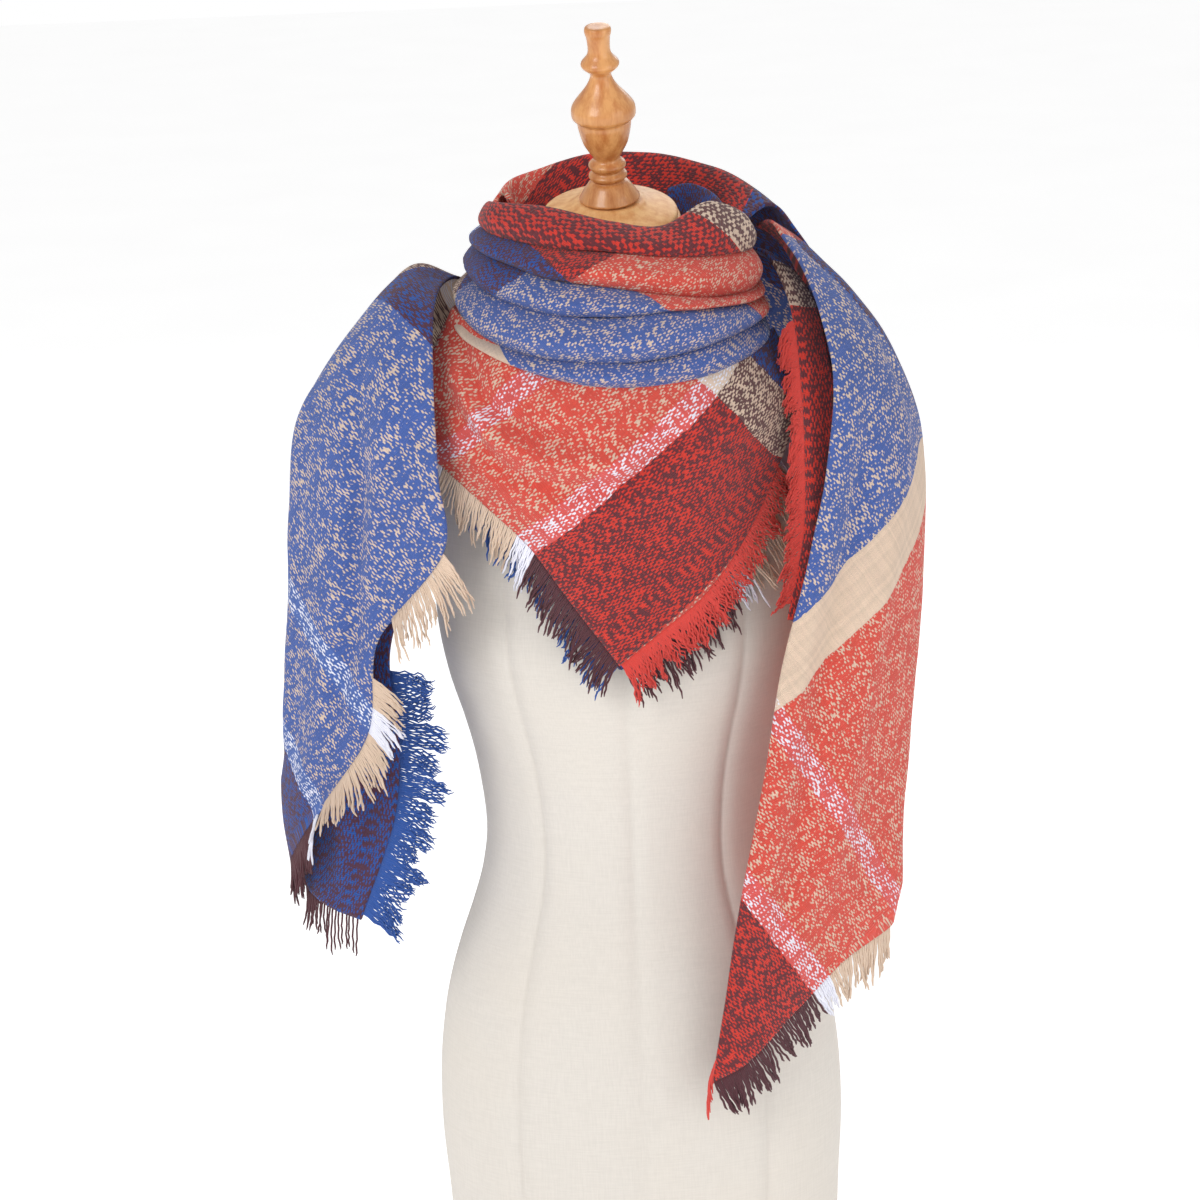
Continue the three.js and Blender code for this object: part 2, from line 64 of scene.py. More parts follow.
Row = list[tuple[float, float, float]]
Colour = tuple[float, float, float]
Socket = bpy.types.NodeSocket
Value = float | tuple[float, ...] | Socket


# ------------------------------------------------------------------ small helpers


def linear(red: int, green: int, blue: int) -> Colour:
    """A colour given as it looks on a screen, as the linear light a shader needs.

    Args:
        red: the red channel, from 0 to 255.
        green: the green channel.
        blue: the blue channel.
    Returns:
        The three channels from 0 to 1.
    """
    def channel(value: int) -> float:
        """One channel, by the sRGB curve."""
        share = value / 255
        return share / 12.92 if share <= 0.04045 else ((share + 0.055) / 1.055) ** 2.4
    return channel(red), channel(green), channel(blue)


def rgba(colour: Colour) -> tuple[float, float, float, float]:
    """The colour with a full alpha."""
    return (*colour, 1.0)


def finished_mesh(bm: bmesh.types.BMesh, name: str) -> bpy.types.Mesh:
    """Turns a bmesh into a mesh, and frees it.

    Args:
        bm: the finished bmesh.
        name: the mesh's name.
    Returns:
        The new mesh.
    """
    mesh = bpy.data.meshes.new(name)
    bm.to_mesh(mesh)
    bm.free()
    return mesh


def upright_edges(bm: bmesh.types.BMesh) -> list[bmesh.types.BMEdge]:
    """The edges that join the two rims of a cylinder one unit high."""
    return [e for e in bm.edges if abs(e.verts[0].co.z - e.verts[1].co.z) > 0.5]


# ------------------------------------------------------------------ shader nodes


class Sketch:
    """Adds and joins shader nodes in one node tree."""

    def __init__(self, tree: bpy.types.NodeTree) -> None:
        """Starts on an empty tree."""
        self.tree = tree
        tree.nodes.clear()

    def add(self, kind: str, inputs: dict | None = None, **settings: object) -> bpy.types.Node:
        """Adds a node.

        Args:
            kind: the node's type name.
            inputs: values or output sockets by input name or index.
            settings: attributes of the node.
        Returns:
            The new node.
        """
        node = self.tree.nodes.new(kind)
        for name, value in settings.items():
            setattr(node, name, value)
        for key, value in (inputs or {}).items():
            if isinstance(value, Socket):
                self.tree.links.new(value, node.inputs[key])
            else:
                node.inputs[key].default_value = value
        return node

    def math(self, operation: str, *values: Value) -> Socket:
        """A Math node's result for these values or sockets."""
        return self.add("ShaderNodeMath", dict(enumerate(values)), operation=operation).outputs[0]

    def vector(self, operation: str, *values: Value) -> Socket:
        """A Vector Math node's vector for these values or sockets."""
        return self.add("ShaderNodeVectorMath", dict(enumerate(values)), operation=operation).outputs[0]

    def scaled(self, value: Value, factor: float) -> Socket:
        """A vector times a number."""
        node = self.add("ShaderNodeVectorMath", {0: value, "Scale": factor}, operation="SCALE")
        return node.outputs[0]

    def noise(self, where: Socket, scale: float, detail: float = 2.0, out: str = "Fac") -> Socket:
        """A noise texture's output at a place."""
        node = self.add("ShaderNodeTexNoise", {"Vector": where, "Scale": scale, "Detail": detail})
        return node.outputs[out]

    def remap(self, value: Value, low: float, high: float, to_low: float, to_high: float) -> Socket:
        """The value moved from one range to another, and held inside it."""
        node = self.add("ShaderNodeMapRange", {0: value, 1: low, 2: high, 3: to_low, 4: to_high})
        return node.outputs[0]

    def blend(self, share: Value, first: Value, second: Value, kind: str = "MIX") -> Socket:
        """Two colours mixed by a share.

        Args:
            share: how much of the second colour there is.
            first: the first colour.
            second: the second colour.
            kind: how the second colour goes on the first.
        Returns:
            The mixed colour.
        """
        node = self.tree.nodes.new("ShaderNodeMix")
        node.data_type = "RGBA"
        node.blend_type = kind
        for socket, value in ((0, share), (6, first), (7, second)):
            if isinstance(value, Socket):
                self.tree.links.new(value, node.inputs[socket])
            else:
                node.inputs[socket].default_value = value if socket == 0 else rgba(value)
        return node.outputs[2]

    def toned(self, colour: Socket, tone: Socket) -> Socket:
        """The colour made lighter or darker by a factor."""
        grey = self.add("ShaderNodeCombineColor", {0: tone, 1: tone, 2: tone}).outputs[0]
        return self.blend(1.0, colour, grey, "MULTIPLY")

    def stripes(self, place: Socket, repeat: float, stops: list[tuple[float, Colour]]) -> Socket:
        """Hard-edged stripes of colour that repeat along a length.

        Args:
            place: the place along the length.
            repeat: how long one repeat is.
            stops: where each stripe starts, as a share of the repeat, and its colour.
        Returns:
            The stripe's colour at the place.
        """
        node = self.add("ShaderNodeValToRGB", {0: self.math("FRACT", self.math("DIVIDE", place, repeat))})
        ramp = node.color_ramp
        ramp.interpolation = "CONSTANT"
        for i, (position, colour) in enumerate(stops):
            stop = ramp.elements[i] if i < 2 else ramp.elements.new(position)
            stop.position = position
            stop.color = rgba(colour)
        return node.outputs[0]


def node_group(
    name: str, inputs: dict[str, str], outputs: dict[str, str],
) -> tuple[bpy.types.NodeTree, Sketch]:
    """A shader node group with named sockets.

    Args:
        name: the group's name.
        inputs: socket types by name.
        outputs: socket types by name.
    Returns:
        The group and a sketch on it.
    """
    tree = bpy.data.node_groups.new(name, "ShaderNodeTree")
    sketch = Sketch(tree)
    for in_out, sockets in (("INPUT", inputs), ("OUTPUT", outputs)):
        for socket, kind in sockets.items():
            tree.interface.new_socket(name=socket, in_out=in_out, socket_type=kind)
    return tree, sketch


# ------------------------------------------------------------------ the scarf's sett


class Yarn(Enum):
    """The dyed yarns of the scarf."""

    MAROON = linear(80, 32, 42)
    WHITE = linear(238, 238, 250)
    CREAM = linear(221, 196, 174)
    RED = linear(213, 50, 34)
    BLUE = linear(10, 78, 163)


@dataclass(frozen=True)
class Sett:
    """The order of the stripes, which repeats along the warp and the weft alike."""

    repeat: float = 467.0
    warp: tuple[tuple[float, Yarn], ...] = (
        (0.0, Yarn.MAROON), (108.0, Yarn.WHITE), (128.0, Yarn.CREAM), (207.0, Yarn.WHITE),
        (226.0, Yarn.CREAM),
    )
    weft: tuple[tuple[float, Yarn], ...] = ((0.0, Yarn.RED), (200.0, Yarn.CREAM), (245.0, Yarn.BLUE))
    shows: tuple[float, ...] = (0.6, 0.25, 0.2, 0.25, 0.2)
    thread: float = 1.35
    float_length: float = 7.6

    def stops(self, stripes: tuple[tuple[float, Yarn], ...]) -> list[tuple[float, Colour]]:
        """Stripes as shares of the repeat and their colours."""
        return [(start / self.repeat, yarn.value) for start, yarn in stripes]

    def warp_shows(self) -> list[tuple[float, Colour]]:
        """How much of each warp stripe lies on top of the weft, as greys."""
        return [(start / self.repeat, (share,) * 3) for (start, _), share in zip(self.warp, self.shows)]


@dataclass(frozen=True)
class Weave:
    """How unevenly the cloth is woven. A scale counts waves in a metre, and a shift is in metres."""

    drift_scale: float = 45.0
    drift: float = 0.006
    flutter_scale: float = 420.0
    flutter: float = 0.0011
    thread_step: float = 0.5
    thread_shift: float = 0.4
    slub_scale: float = 240.0
    slub: float = 1.9
    patch_scale: float = 70.0
    patch: float = 1.0
    crossing: float = 0.05
    least_weft: float = 0.07
    most_weft: float = 0.93
    fibre_scale: float = 1500.0
    fibre_tone: float = 0.5
    thread_tone: float = 0.10
    base_tone: float = 0.64
    thread_height: float = 0.7
    fibre_height: float = 0.6


@dataclass(frozen=True)
class Twist:
    """The look of a loose yarn: its turns, tones, painted shade between plies and the few white hairs on the
    weft.
    """

    turns: float = 22.0
    ply_groove_shade: float = 0.3
    base_tone: float = 0.86
    fibre_scale: float = 900.0
    fibre_tone: float = 0.15
    white_hairs: float = 0.02


SETT = Sett()
WEAVE = Weave()
TWIST = Twist()


def plaid_group() -> bpy.types.NodeTree:
    """The woven plaid: colour and height of the yarns at a place on the square, in metres.

    Returns:
        The node group.
    """
    tree, sk = node_group(
        "plaid weave",
        {"Cloth": "NodeSocketVector"},
        {"Color": "NodeSocketColor", "Height": "NodeSocketFloat"},
    )
    cloth = sk.add("NodeGroupInput").outputs["Cloth"]
    middle = (0.5, 0.5, 0.5)
    drift = sk.vector("SUBTRACT", sk.noise(cloth, WEAVE.drift_scale, 2.0, "Color"), middle)
    flutter = sk.vector("SUBTRACT", sk.noise(cloth, WEAVE.flutter_scale, 1.0, "Color"), middle)
    place = sk.vector("ADD", cloth, sk.scaled(drift, WEAVE.drift))
    place = sk.vector("ADD", place, sk.scaled(flutter, WEAVE.flutter))
    split = sk.add("ShaderNodeSeparateXYZ", {0: place})
    s, t = split.outputs[0], split.outputs[1]
    warp = sk.stripes(s, SETT.repeat * MM, SETT.stops(SETT.warp))
    weft = sk.stripes(t, SETT.repeat * MM, SETT.stops(SETT.weft))
    end = sk.math("DIVIDE", s, SETT.thread * MM)
    pick = sk.math("DIVIDE", t, SETT.thread * MM)
    end_number, pick_number = sk.math("FLOOR", end), sk.math("FLOOR", pick)
    for_warp = sk.add("ShaderNodeTexWhiteNoise", {"W": end_number}, noise_dimensions="1D").outputs["Value"]
    for_weft = sk.add("ShaderNodeTexWhiteNoise", {"W": pick_number}, noise_dimensions="1D").outputs["Value"]
    step = sk.math("MULTIPLY", end_number, WEAVE.thread_step)
    start = sk.math("ADD", step, sk.math("MULTIPLY", for_warp, WEAVE.thread_shift))
    along = sk.math("ADD", sk.math("DIVIDE", t, SETT.float_length * MM), start)
    dash = sk.math("PINGPONG", along, 0.5)
    shows = sk.stripes(s, SETT.repeat * MM, SETT.warp_shows())
    lengthwise = sk.vector("MULTIPLY", cloth, (1.0, 0.5, 1.0))
    slub = sk.math("SUBTRACT", sk.noise(lengthwise, WEAVE.slub_scale, 3.0), 0.5)
    patch = sk.math("SUBTRACT", sk.noise(cloth, WEAVE.patch_scale, 2.0), 0.5)
    stray = sk.math("ADD", sk.math("MULTIPLY", slub, WEAVE.slub), sk.math("MULTIPLY", patch, WEAVE.patch))
    edge = sk.math("MULTIPLY", sk.math("ADD", shows, stray), 0.5)
    past = sk.math("SUBTRACT", dash, edge)
    weft_on_top = sk.remap(past, -WEAVE.crossing, WEAVE.crossing, WEAVE.least_weft, WEAVE.most_weft)
    fibre = sk.noise(cloth, WEAVE.fibre_scale, 1.0)
    warp_tone = sk.math("MULTIPLY", for_warp, WEAVE.thread_tone)
    weft_tone = sk.math("MULTIPLY", for_weft, WEAVE.thread_tone)
    base = sk.math("ADD", sk.math("ADD", warp_tone, weft_tone), WEAVE.base_tone)
    tone = sk.math("ADD", sk.math("MULTIPLY", fibre, WEAVE.fibre_tone), base)
    colour = sk.toned(sk.blend(weft_on_top, warp, weft), tone)
    round_end = sk.math("SINE", sk.math("MULTIPLY", sk.math("FRACT", end), math.pi))
    round_pick = sk.math("SINE", sk.math("MULTIPLY", sk.math("FRACT", pick), math.pi))
    thread = sk.add("ShaderNodeMix", {0: weft_on_top, 2: round_end, 3: round_pick}).outputs[0]
    thread_height = sk.math("MULTIPLY", thread, WEAVE.thread_height)
    height = sk.math("ADD", thread_height, sk.math("MULTIPLY", fibre, WEAVE.fibre_height))
    sk.add("NodeGroupOutput", {"Color": colour, "Height": height})
    return tree


def yarn_group() -> bpy.types.NodeTree:
    """Loose yarn: the warp's or the weft's colour at a place on the square, with its twist and painted shade
    between plies.

    Along holds the place round the yarn and along it, and Weft is 1 for weft yarn and 0 for warp yarn.

    Returns:
        The node group.
    """
    tree, sk = node_group(
        "loose yarn",
        {"Cloth": "NodeSocketVector", "Along": "NodeSocketVector", "Weft": "NodeSocketFloat"},
        {"Color": "NodeSocketColor", "Height": "NodeSocketFloat"},
    )
    inputs = sk.add("NodeGroupInput").outputs
    split = sk.add("ShaderNodeSeparateXYZ", {0: inputs["Cloth"]})
    warp = sk.stripes(split.outputs[0], SETT.repeat * MM, SETT.stops(SETT.warp))
    weft = sk.stripes(split.outputs[1], SETT.repeat * MM, SETT.stops(SETT.weft))
    colour = sk.blend(inputs["Weft"], warp, weft)
    hairs = sk.math("MULTIPLY", inputs["Weft"], TWIST.white_hairs)
    colour = sk.blend(hairs, colour, Yarn.WHITE.value)
    along = sk.add("ShaderNodeSeparateXYZ", {0: inputs["Along"]})
    turned = sk.math("ADD", sk.math("MULTIPLY", along.outputs[1], TWIST.turns), along.outputs[0])
    ply = sk.math("ABSOLUTE", sk.math("SINE", sk.math("MULTIPLY", turned, 2 * math.pi)))
    # Painted shade: the colour darkens in the grooves between the plies and lightens on their crests.
    tone = sk.math("ADD", sk.math("MULTIPLY", ply, TWIST.ply_groove_shade), TWIST.base_tone)
    fibre = sk.noise(inputs["Cloth"], TWIST.fibre_scale, 1.0)
    tone = sk.math("ADD", tone, sk.math("MULTIPLY", fibre, TWIST.fibre_tone))
    sk.add("NodeGroupOutput", {"Color": sk.toned(colour, tone), "Height": ply})
    return tree


@dataclass(frozen=True)
class Finish:
    """A finished surface: its material's name and the constant values of its shader."""

    name: str
    roughness: float = 0.9
    sheen: float = 0.0
    sheen_roughness: float = 0.6
    bump: float = 0.4
    bump_depth: float = 0.0006
    coat: float = 0.0
    coat_roughness: float = 0.12

    def start(self) -> tuple[bpy.types.Material, Sketch, bpy.types.Node]:
        """Starts the finish's material.

        Returns:
            The material, a sketch on its nodes and its shader, which is joined to the output.
        """
        material = bpy.data.materials.new(self.name)
        material.use_nodes = True
        sk = Sketch(material.node_tree)
        shader = sk.add("ShaderNodeBsdfPrincipled", {
            "Roughness": self.roughness,
            "Sheen Weight": self.sheen,
            "Sheen Roughness": self.sheen_roughness,
            "Coat Weight": self.coat,
            "Coat Roughness": self.coat_roughness,
        })
        sk.add("ShaderNodeOutputMaterial", {0: shader.outputs[0]})
        return material, sk, shader

    def raise_by(self, sk: Sketch, shader: bpy.types.Node, height: Socket) -> None:
        """Joins a height to the shader's normal through a bump.

        Args:
            sk: the sketch on the material.
            shader: the material's shader.
            height: the height, from 0 to 1.
        """
        settings = {"Strength": self.bump, "Distance": self.bump_depth, "Height": height}
        sk.tree.links.new(sk.add("ShaderNodeBump", settings).outputs[0], shader.inputs["Normal"])


class Finishes:
    """The object's materials, each made once."""

    def __init__(self) -> None:
        """Makes the shared groups and every material."""
        self.plaid_weave = plaid_group()
        self.loose_yarn = yarn_group()
        self.plaid = self.make_plaid()
        self.warp_yarn = self.make_yarn("warp yarn", 0.0)
        self.weft_yarn = self.make_yarn("weft yarn", 1.0)
        self.linen = self.make_linen()
        self.wood = self.make_wood("turned wood", linear(188, 116, 58), linear(220, 158, 96))
        # The cap is the finial's wood painted lighter: its grain with painted light on its upturned face.
        self.lit_cap_wood = self.make_wood("cap wood with painted light", linear(216, 152, 90), linear(238, 188, 126), 0.5, 0.1)

    def make_plaid(self) -> bpy.types.Material:
        """The brushed plaid cloth.

        Returns:
            The material, which reads the sheet's UV map.
        """
        finish = Finish("plaid cloth", roughness=0.95, sheen=0.12, bump=0.6, bump_depth=0.0012)
        material, sk, shader = finish.start()
        place = sk.add("ShaderNodeUVMap", uv_map=CLOTH_UV).outputs[0]
        weave = sk.add("ShaderNodeGroup", node_tree=self.plaid_weave)
        sk.tree.links.new(place, weave.inputs["Cloth"])
        sk.tree.links.new(weave.outputs["Color"], shader.inputs["Base Color"])
        finish.raise_by(sk, shader, weave.outputs["Height"])
        return material

    def make_yarn(self, name: str, weft: float) -> bpy.types.Material:
        """Fringe yarn of the warp or of the weft.

        Args:
            name: the material's name.
            weft: 1 for weft yarn and 0 for warp yarn.
        Returns:
            The material, which reads the fringe's two UV maps.
        """
        finish = Finish(name, roughness=0.92, sheen=0.15, bump=0.6, bump_depth=0.0006)
        material, sk, shader = finish.start()
        yarn = sk.add("ShaderNodeGroup", node_tree=self.loose_yarn)
        yarn.inputs["Weft"].default_value = weft
        sk.tree.links.new(sk.add("ShaderNodeUVMap", uv_map=CLOTH_UV).outputs[0], yarn.inputs["Cloth"])
        sk.tree.links.new(sk.add("ShaderNodeUVMap", uv_map=ALONG_UV).outputs[0], yarn.inputs["Along"])
        sk.tree.links.new(yarn.outputs["Color"], shader.inputs["Base Color"])
        finish.raise_by(sk, shader, yarn.outputs["Height"])
        return material

    def make_linen(self) -> bpy.types.Material:
        """The form's linen cover: a plain weave with slubs.

        Returns:
            The material.
        """
        finish = Finish("linen", roughness=0.88, sheen=0.05, bump=0.35, bump_depth=0.0004)
        material, sk, shader = finish.start()
        place = sk.add("ShaderNodeTexCoord").outputs["Object"]
        fine, slow = 900.0, 60.0
        warp = sk.add("ShaderNodeMapping", {0: place, 3: (fine, fine, slow)}).outputs[0]
        weft = sk.add("ShaderNodeMapping", {0: place, 3: (slow, slow, fine)}).outputs[0]
        upright, level = sk.noise(warp, 1.0, 1.0), sk.noise(weft, 1.0, 1.0)
        weave = sk.math("ADD", sk.math("MULTIPLY", upright, 0.5), sk.math("MULTIPLY", level, 0.5))
        share = sk.remap(weave, 0.35, 0.65, 0.0, 1.0)
        colour = sk.blend(share, linear(214, 208, 200), linear(221, 215, 207))
        stain = sk.remap(sk.noise(place, 7.0, 3.0), 0.4, 0.7, 0.0, 0.25)
        colour = sk.blend(stain, colour, linear(222, 212, 198))
        sk.tree.links.new(colour, shader.inputs["Base Color"])
        finish.raise_by(sk, shader, weave)
        return material

    def make_wood(
        self, name: str, dark: Colour, light: Colour, roughness: float = 0.36, coat: float = 0.35,
    ) -> bpy.types.Material:
        """Varnished turned wood, with grain along the turning and fine tool rings.

        Args:
            name: the material's name.
            dark: the colour of the dark grain.
            light: the colour of the light grain.
            roughness: how rough the wood is.
            coat: how much varnish lies on it.
        Returns:
            The material.
        """
        finish = Finish(name, roughness=roughness, bump=0.25, bump_depth=0.0004, coat=coat)
        material, sk, shader = finish.start()
        place = sk.add("ShaderNodeTexCoord").outputs["Object"]
        stretched = sk.add("ShaderNodeMapping", {0: place, 3: (90.0, 90.0, 7.0)}).outputs[0]
        grain = sk.noise(stretched, 1.6, 4.0)
        fine = sk.noise(stretched, 9.0, 2.0)
        share = sk.remap(sk.math("ADD", grain, sk.math("MULTIPLY", fine, 0.3)), 0.45, 0.8, 0.0, 1.0)
        sk.tree.links.new(sk.blend(share, dark, light), shader.inputs["Base Color"])
        rings = sk.add("ShaderNodeMapping", {0: place, 3: (4.0, 4.0, 700.0)}).outputs[0]
        finish.raise_by(sk, shader, sk.noise(rings, 1.0, 1.0))
        return material


# ------------------------------------------------------------------ cloth sheets


def spline_weights(count: int, places: np.ndarray, sharp: int = -1) -> np.ndarray:
    """Catmull-Rom weights of each value at each place.

    Args:
        count: how many values the spline runs through.
        places: where it is read, from 0 to 1.
        sharp: an index at which the spline may turn a corner.
    Returns:
        A matrix with a row for each place and a column for each value.
    """
    last = count - 1
    at = np.clip(places, 0, 1) * last
    start = np.minimum(at.astype(int), last - 1)
    f = at - start
    before = -0.5 * f**3 + f**2 - 0.5 * f
    here = 1.5 * f**3 - 2.5 * f**2 + 1
    ahead = -1.5 * f**3 + 2 * f**2 + 0.5 * f
    beyond = 0.5 * f**3 - 0.5 * f**2
    weights = np.zeros((len(places), count))
    for r, i in enumerate(start):
        parts = {i: here[r], i + 1: ahead[r]}
        if i == 0 or i == sharp:
            parts[i] += 2 * before[r]
            parts[i + 1] -= before[r]
        else:
            parts[i - 1] = before[r]
        if i + 1 == last or i + 1 == sharp:
            parts[i + 1] += 2 * beyond[r]
            parts[i] -= beyond[r]
        else:
            parts[i + 2] = beyond[r]
        for column, weight in parts.items():
            weights[r, column] += weight
    return weights


@dataclass(frozen=True)
class Fold:
    """A soft trough or ridge along a line on a sheet.

    The line is given by shares across and down the sheet. A positive rise is a ridge, and a negative one a
    trough. The fold fades over this share of its length at each end.
    """

    line: tuple[tuple[float, float], ...]
    rise: float
    width: float
    fade: float = 0.2


class Edge(Enum):
    """An edge of a sheet, such as the one that a fringe hangs from."""

    BOTTOM = "bottom"
    RIGHT = "right"
    LEFT = "left"


@dataclass(frozen=True)
class Lie:
    """How a sheet lies on the square of cloth.

    anchor is a point of the sheet, as shares across and down it, and at is the place on the square there.
    s_way and t_way say where one millimetre along s and t leads on the sheet, unrolled and seen from the
    front: to the right, and up. t is held within its limits. The cut edge, if there is one, follows a
    thread, and the cloth is eased to it over a distance.
    """

    anchor: tuple[float, float]
    at: tuple[float, float]
    s_way: tuple[float, float]
    t_way: tuple[float, float]
    t_limits: tuple[float, float] = (-1e6, 1e6)
    cut: Edge | None = None
    ease: float = 300.0


@dataclass
class Stretch:
    """One stretch of the scarf as a thin sheet through rows of points."""

    name: str
    rows: list[Row]
    lie: Lie
    flat: tuple[float, float]
    share: float = 1.0
    held: str = "draped"
    rests_on: tuple[str, ...] = ("form_torso",)
    folds: tuple[Fold, ...] = ()
    side: int = 1
    sharp: int = -1
    front_column: float = 0.5
    cell: float = 4.0
    ripple: float = 1.0
    grid: np.ndarray = field(init=False)
    normals: np.ndarray = field(init=False)
    cloth: np.ndarray = field(init=False)

    def lay(self) -> None:
        """Works out the sheet's points, its normals and its place on the square."""
        control = np.array(self.rows, float)
        across = np.linalg.norm(np.diff(control, axis=1), axis=2).sum(1).max()
        down = np.linalg.norm(np.diff(control, axis=0), axis=2).sum(0).max()
        columns = max(FEWEST_CELLS, round(across / self.cell))
        rows = max(FEWEST_CELLS, round(down / self.cell))
        u, v = np.linspace(0, 1, columns + 1), np.linspace(0, 1, rows + 1)
        over_u = spline_weights(control.shape[1], u, self.sharp)
        smooth_u = spline_weights(control.shape[1], u)
        over_v = spline_weights(control.shape[0], v)
        points = np.einsum("ri,ijk,cj->rck", over_v, control, over_u)
        points[..., 1] = np.einsum("ri,ij,cj->rc", over_v, control[..., 1], smooth_u)
        self.grid = points
        self.normals = self.measure_normals()
        self.cloth = self.place_on_square()
        self.fold_over()

    def measure_normals(self) -> np.ndarray:
        """Measures the normals towards the side that shows.

        Returns:
            A unit normal for each point.
        """
        along = np.gradient(self.grid, axis=1)
        down = np.gradient(self.grid, axis=0)
        normal = np.cross(along, down) * -self.side
        return normal / np.maximum(np.linalg.norm(normal, axis=2, keepdims=True), 1e-9)

    def place_on_square(self) -> np.ndarray:
        """Unrolls the sheet round an upright line and finds each point's place on the square.

        Returns:
            The s and t of each point, in millimetres.
        """
        points = self.grid
        column = round(self.front_column * (points.shape[1] - 1))
        step = np.diff(points, axis=1)
        run = np.hypot(step[..., 0], step[..., 1])
        run = np.concatenate([np.zeros((points.shape[0], 1)), run.cumsum(1)], 1)
        level = run - run[:, column:column + 1] + points[:, column, 0][:, None]
        spine = np.diff(points[:, column], axis=0)
        drop = np.concatenate([[0.0], np.hypot(spine[:, 1], spine[:, 2]).cumsum()])
        unrolled = points[-1, column, 2] + drop[-1] - drop
        height = points[..., 2] - points[:, column, 2][:, None] + unrolled[:, None]
        flat = np.stack([level, height], -1)
        ways = np.array([self.lie.s_way, self.lie.t_way]).T
        offset = flat - self.sample(flat, *self.lie.anchor)
        cloth = offset @ np.linalg.inv(ways).T + np.array(self.lie.at)
        self.follow_thread(cloth)
        cloth[..., 1] = np.clip(cloth[..., 1], *self.lie.t_limits)
        return cloth

    def follow_thread(self, cloth: np.ndarray) -> None:
        """Eases the cloth near its cut edge, so that the edge follows one thread.

        Args:
            cloth: the s and t of each point, which are changed in place.
        """
        rows, columns = cloth.shape[:2]
        if self.lie.cut is Edge.BOTTOM:
            away = (rows - 1 - np.arange(rows))[:, None] * self.cell
            cloth[..., 1] -= (cloth[-1:, :, 1] - self.lie.at[1]) * np.clip(1 - away / self.lie.ease, 0, 1)
        elif self.lie.cut is Edge.RIGHT:
            away = (columns - 1 - np.arange(columns))[None, :] * self.cell
            cloth[..., 0] -= (cloth[:, -1:, 0] - self.lie.at[0]) * np.clip(1 - away / self.lie.ease, 0, 1)

    def fold_over(self) -> None:
        """Lays the folds in, and a faint ripple, along the normals."""
        points = self.grid
        lift = np.zeros(points.shape[:2])
        for fold in self.folds:
            lift += self.fold_lift(fold)
        for index in np.ndindex(lift.shape):
            x, y, z = points[index] / RIPPLE_WAVE
            lift[index] += self.ripple * noise.noise(Vector((x, y, z)))
        self.grid = points + self.normals * lift[..., None]
        self.normals = self.measure_normals()

    def fold_lift(self, fold: Fold) -> np.ndarray:
        """Works out how far one fold lifts each point.

        Args:
            fold: the fold.
        Returns:
            The lift of each point along its normal, in millimetres.
        """
        line = np.array([self.point(u, v) for u, v in fold.line])
        best = np.full(self.grid.shape[:2], np.inf)
        place = np.zeros_like(best)
        lengths = np.linalg.norm(np.diff(line, axis=0), axis=1)
        total, so_far = lengths.sum(), 0.0
        for a, b, length in zip(line[:-1], line[1:], lengths):
            share = np.clip(((self.grid - a) @ (b - a)) / max(length**2, 1e-9), 0, 1)
            gap = np.linalg.norm(self.grid - (a + share[..., None] * (b - a)), axis=2)
            nearer = gap < best
            best[nearer] = gap[nearer]
            place[nearer] = ((so_far + share * length) / total)[nearer]
            so_far += length
        ends = np.clip(np.minimum(place, 1 - place) / max(fold.fade, 1e-6), 0, 1)
        return fold.rise * np.exp(-((best / fold.width) ** 2)) * np.sin(ends * math.pi / 2)

    def sample(self, values: np.ndarray, u: float, v: float) -> np.ndarray:
        """Reads values between the grid's points.

        Args:
            values: a value for each point of the grid.
            u: the share across the sheet.
            v: the share down the sheet.
        Returns:
            The value there.
        """
        rows, columns = values.shape[:2]
        x, y = min(max(u, 0), 1) * (columns - 1), min(max(v, 0), 1) * (rows - 1)
        c, r = min(int(x), columns - 2), min(int(y), rows - 2)
        fx, fy = x - c, y - r
        top = values[r, c] * (1 - fx) + values[r, c + 1] * fx
        low = values[r + 1, c] * (1 - fx) + values[r + 1, c + 1] * fx
        return top * (1 - fy) + low * fy

    def point(self, u: float, v: float) -> np.ndarray:
        """The sheet's point at a share across and down, in millimetres."""
        return self.sample(self.grid, u, v)

    def build(self, material: bpy.types.Material) -> bpy.types.Object:
        """Args:
            material: the cloth's finish.
        Returns:
            The finished object.
        """
        rows, columns = self.grid.shape[:2]
        bm = bmesh.new()
        bmesh.ops.create_grid(bm, x_segments=columns - 1, y_segments=rows - 1, size=0.5)
        uv = bm.loops.layers.uv.new(CLOTH_UV)
        place = {}
        for vert in bm.verts:
            c = round((vert.co.x + 0.5) * (columns - 1))
            r = round((0.5 - vert.co.y) * (rows - 1))
            place[vert] = (r, c)
            vert.co = Vector(self.grid[r, c] * MM)
        for face in bm.faces:
            face.smooth = True
            for loop in face.loops:
                loop[uv].uv = self.cloth[place[loop.vert]] * MM
        if self.side < 0:
            bmesh.ops.reverse_faces(bm, faces=bm.faces)
        mesh = finished_mesh(bm, self.name)
        piece = add_piece(f"{self.name}_cloth", mesh, material, "plaid_cloth", self.name)
        wall = piece.modifiers.new("wall", "SOLIDIFY")
        wall.thickness = CLOTH_WALL * MM
        wall.offset = -1.0
        wall.use_even_offset = False
        return piece


def add_piece(
    name: str, mesh: bpy.types.Mesh, material: bpy.types.Material, slot: str, *stands_for: str,
) -> bpy.types.Object:
    """Adds a finished mesh as a piece of the object.

    Args:
        name: the piece's name.
        mesh: its mesh, in place.
        material: its finish.
        slot: the record's material slot; not used.
        stands_for: the CAD nodes that it replaces.
    Returns:
        The new object.
    """
    piece = bpy.data.objects.new(name, mesh)
    bpy.context.scene.collection.objects.link(piece)
    mesh.materials.append(material)
    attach(piece, BODY)
    if stands_for:
        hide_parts(*stands_for)
    LOG.info("%s: %d faces", name, len(mesh.polygons))
    return piece


# ------------------------------------------------------------------ fringe


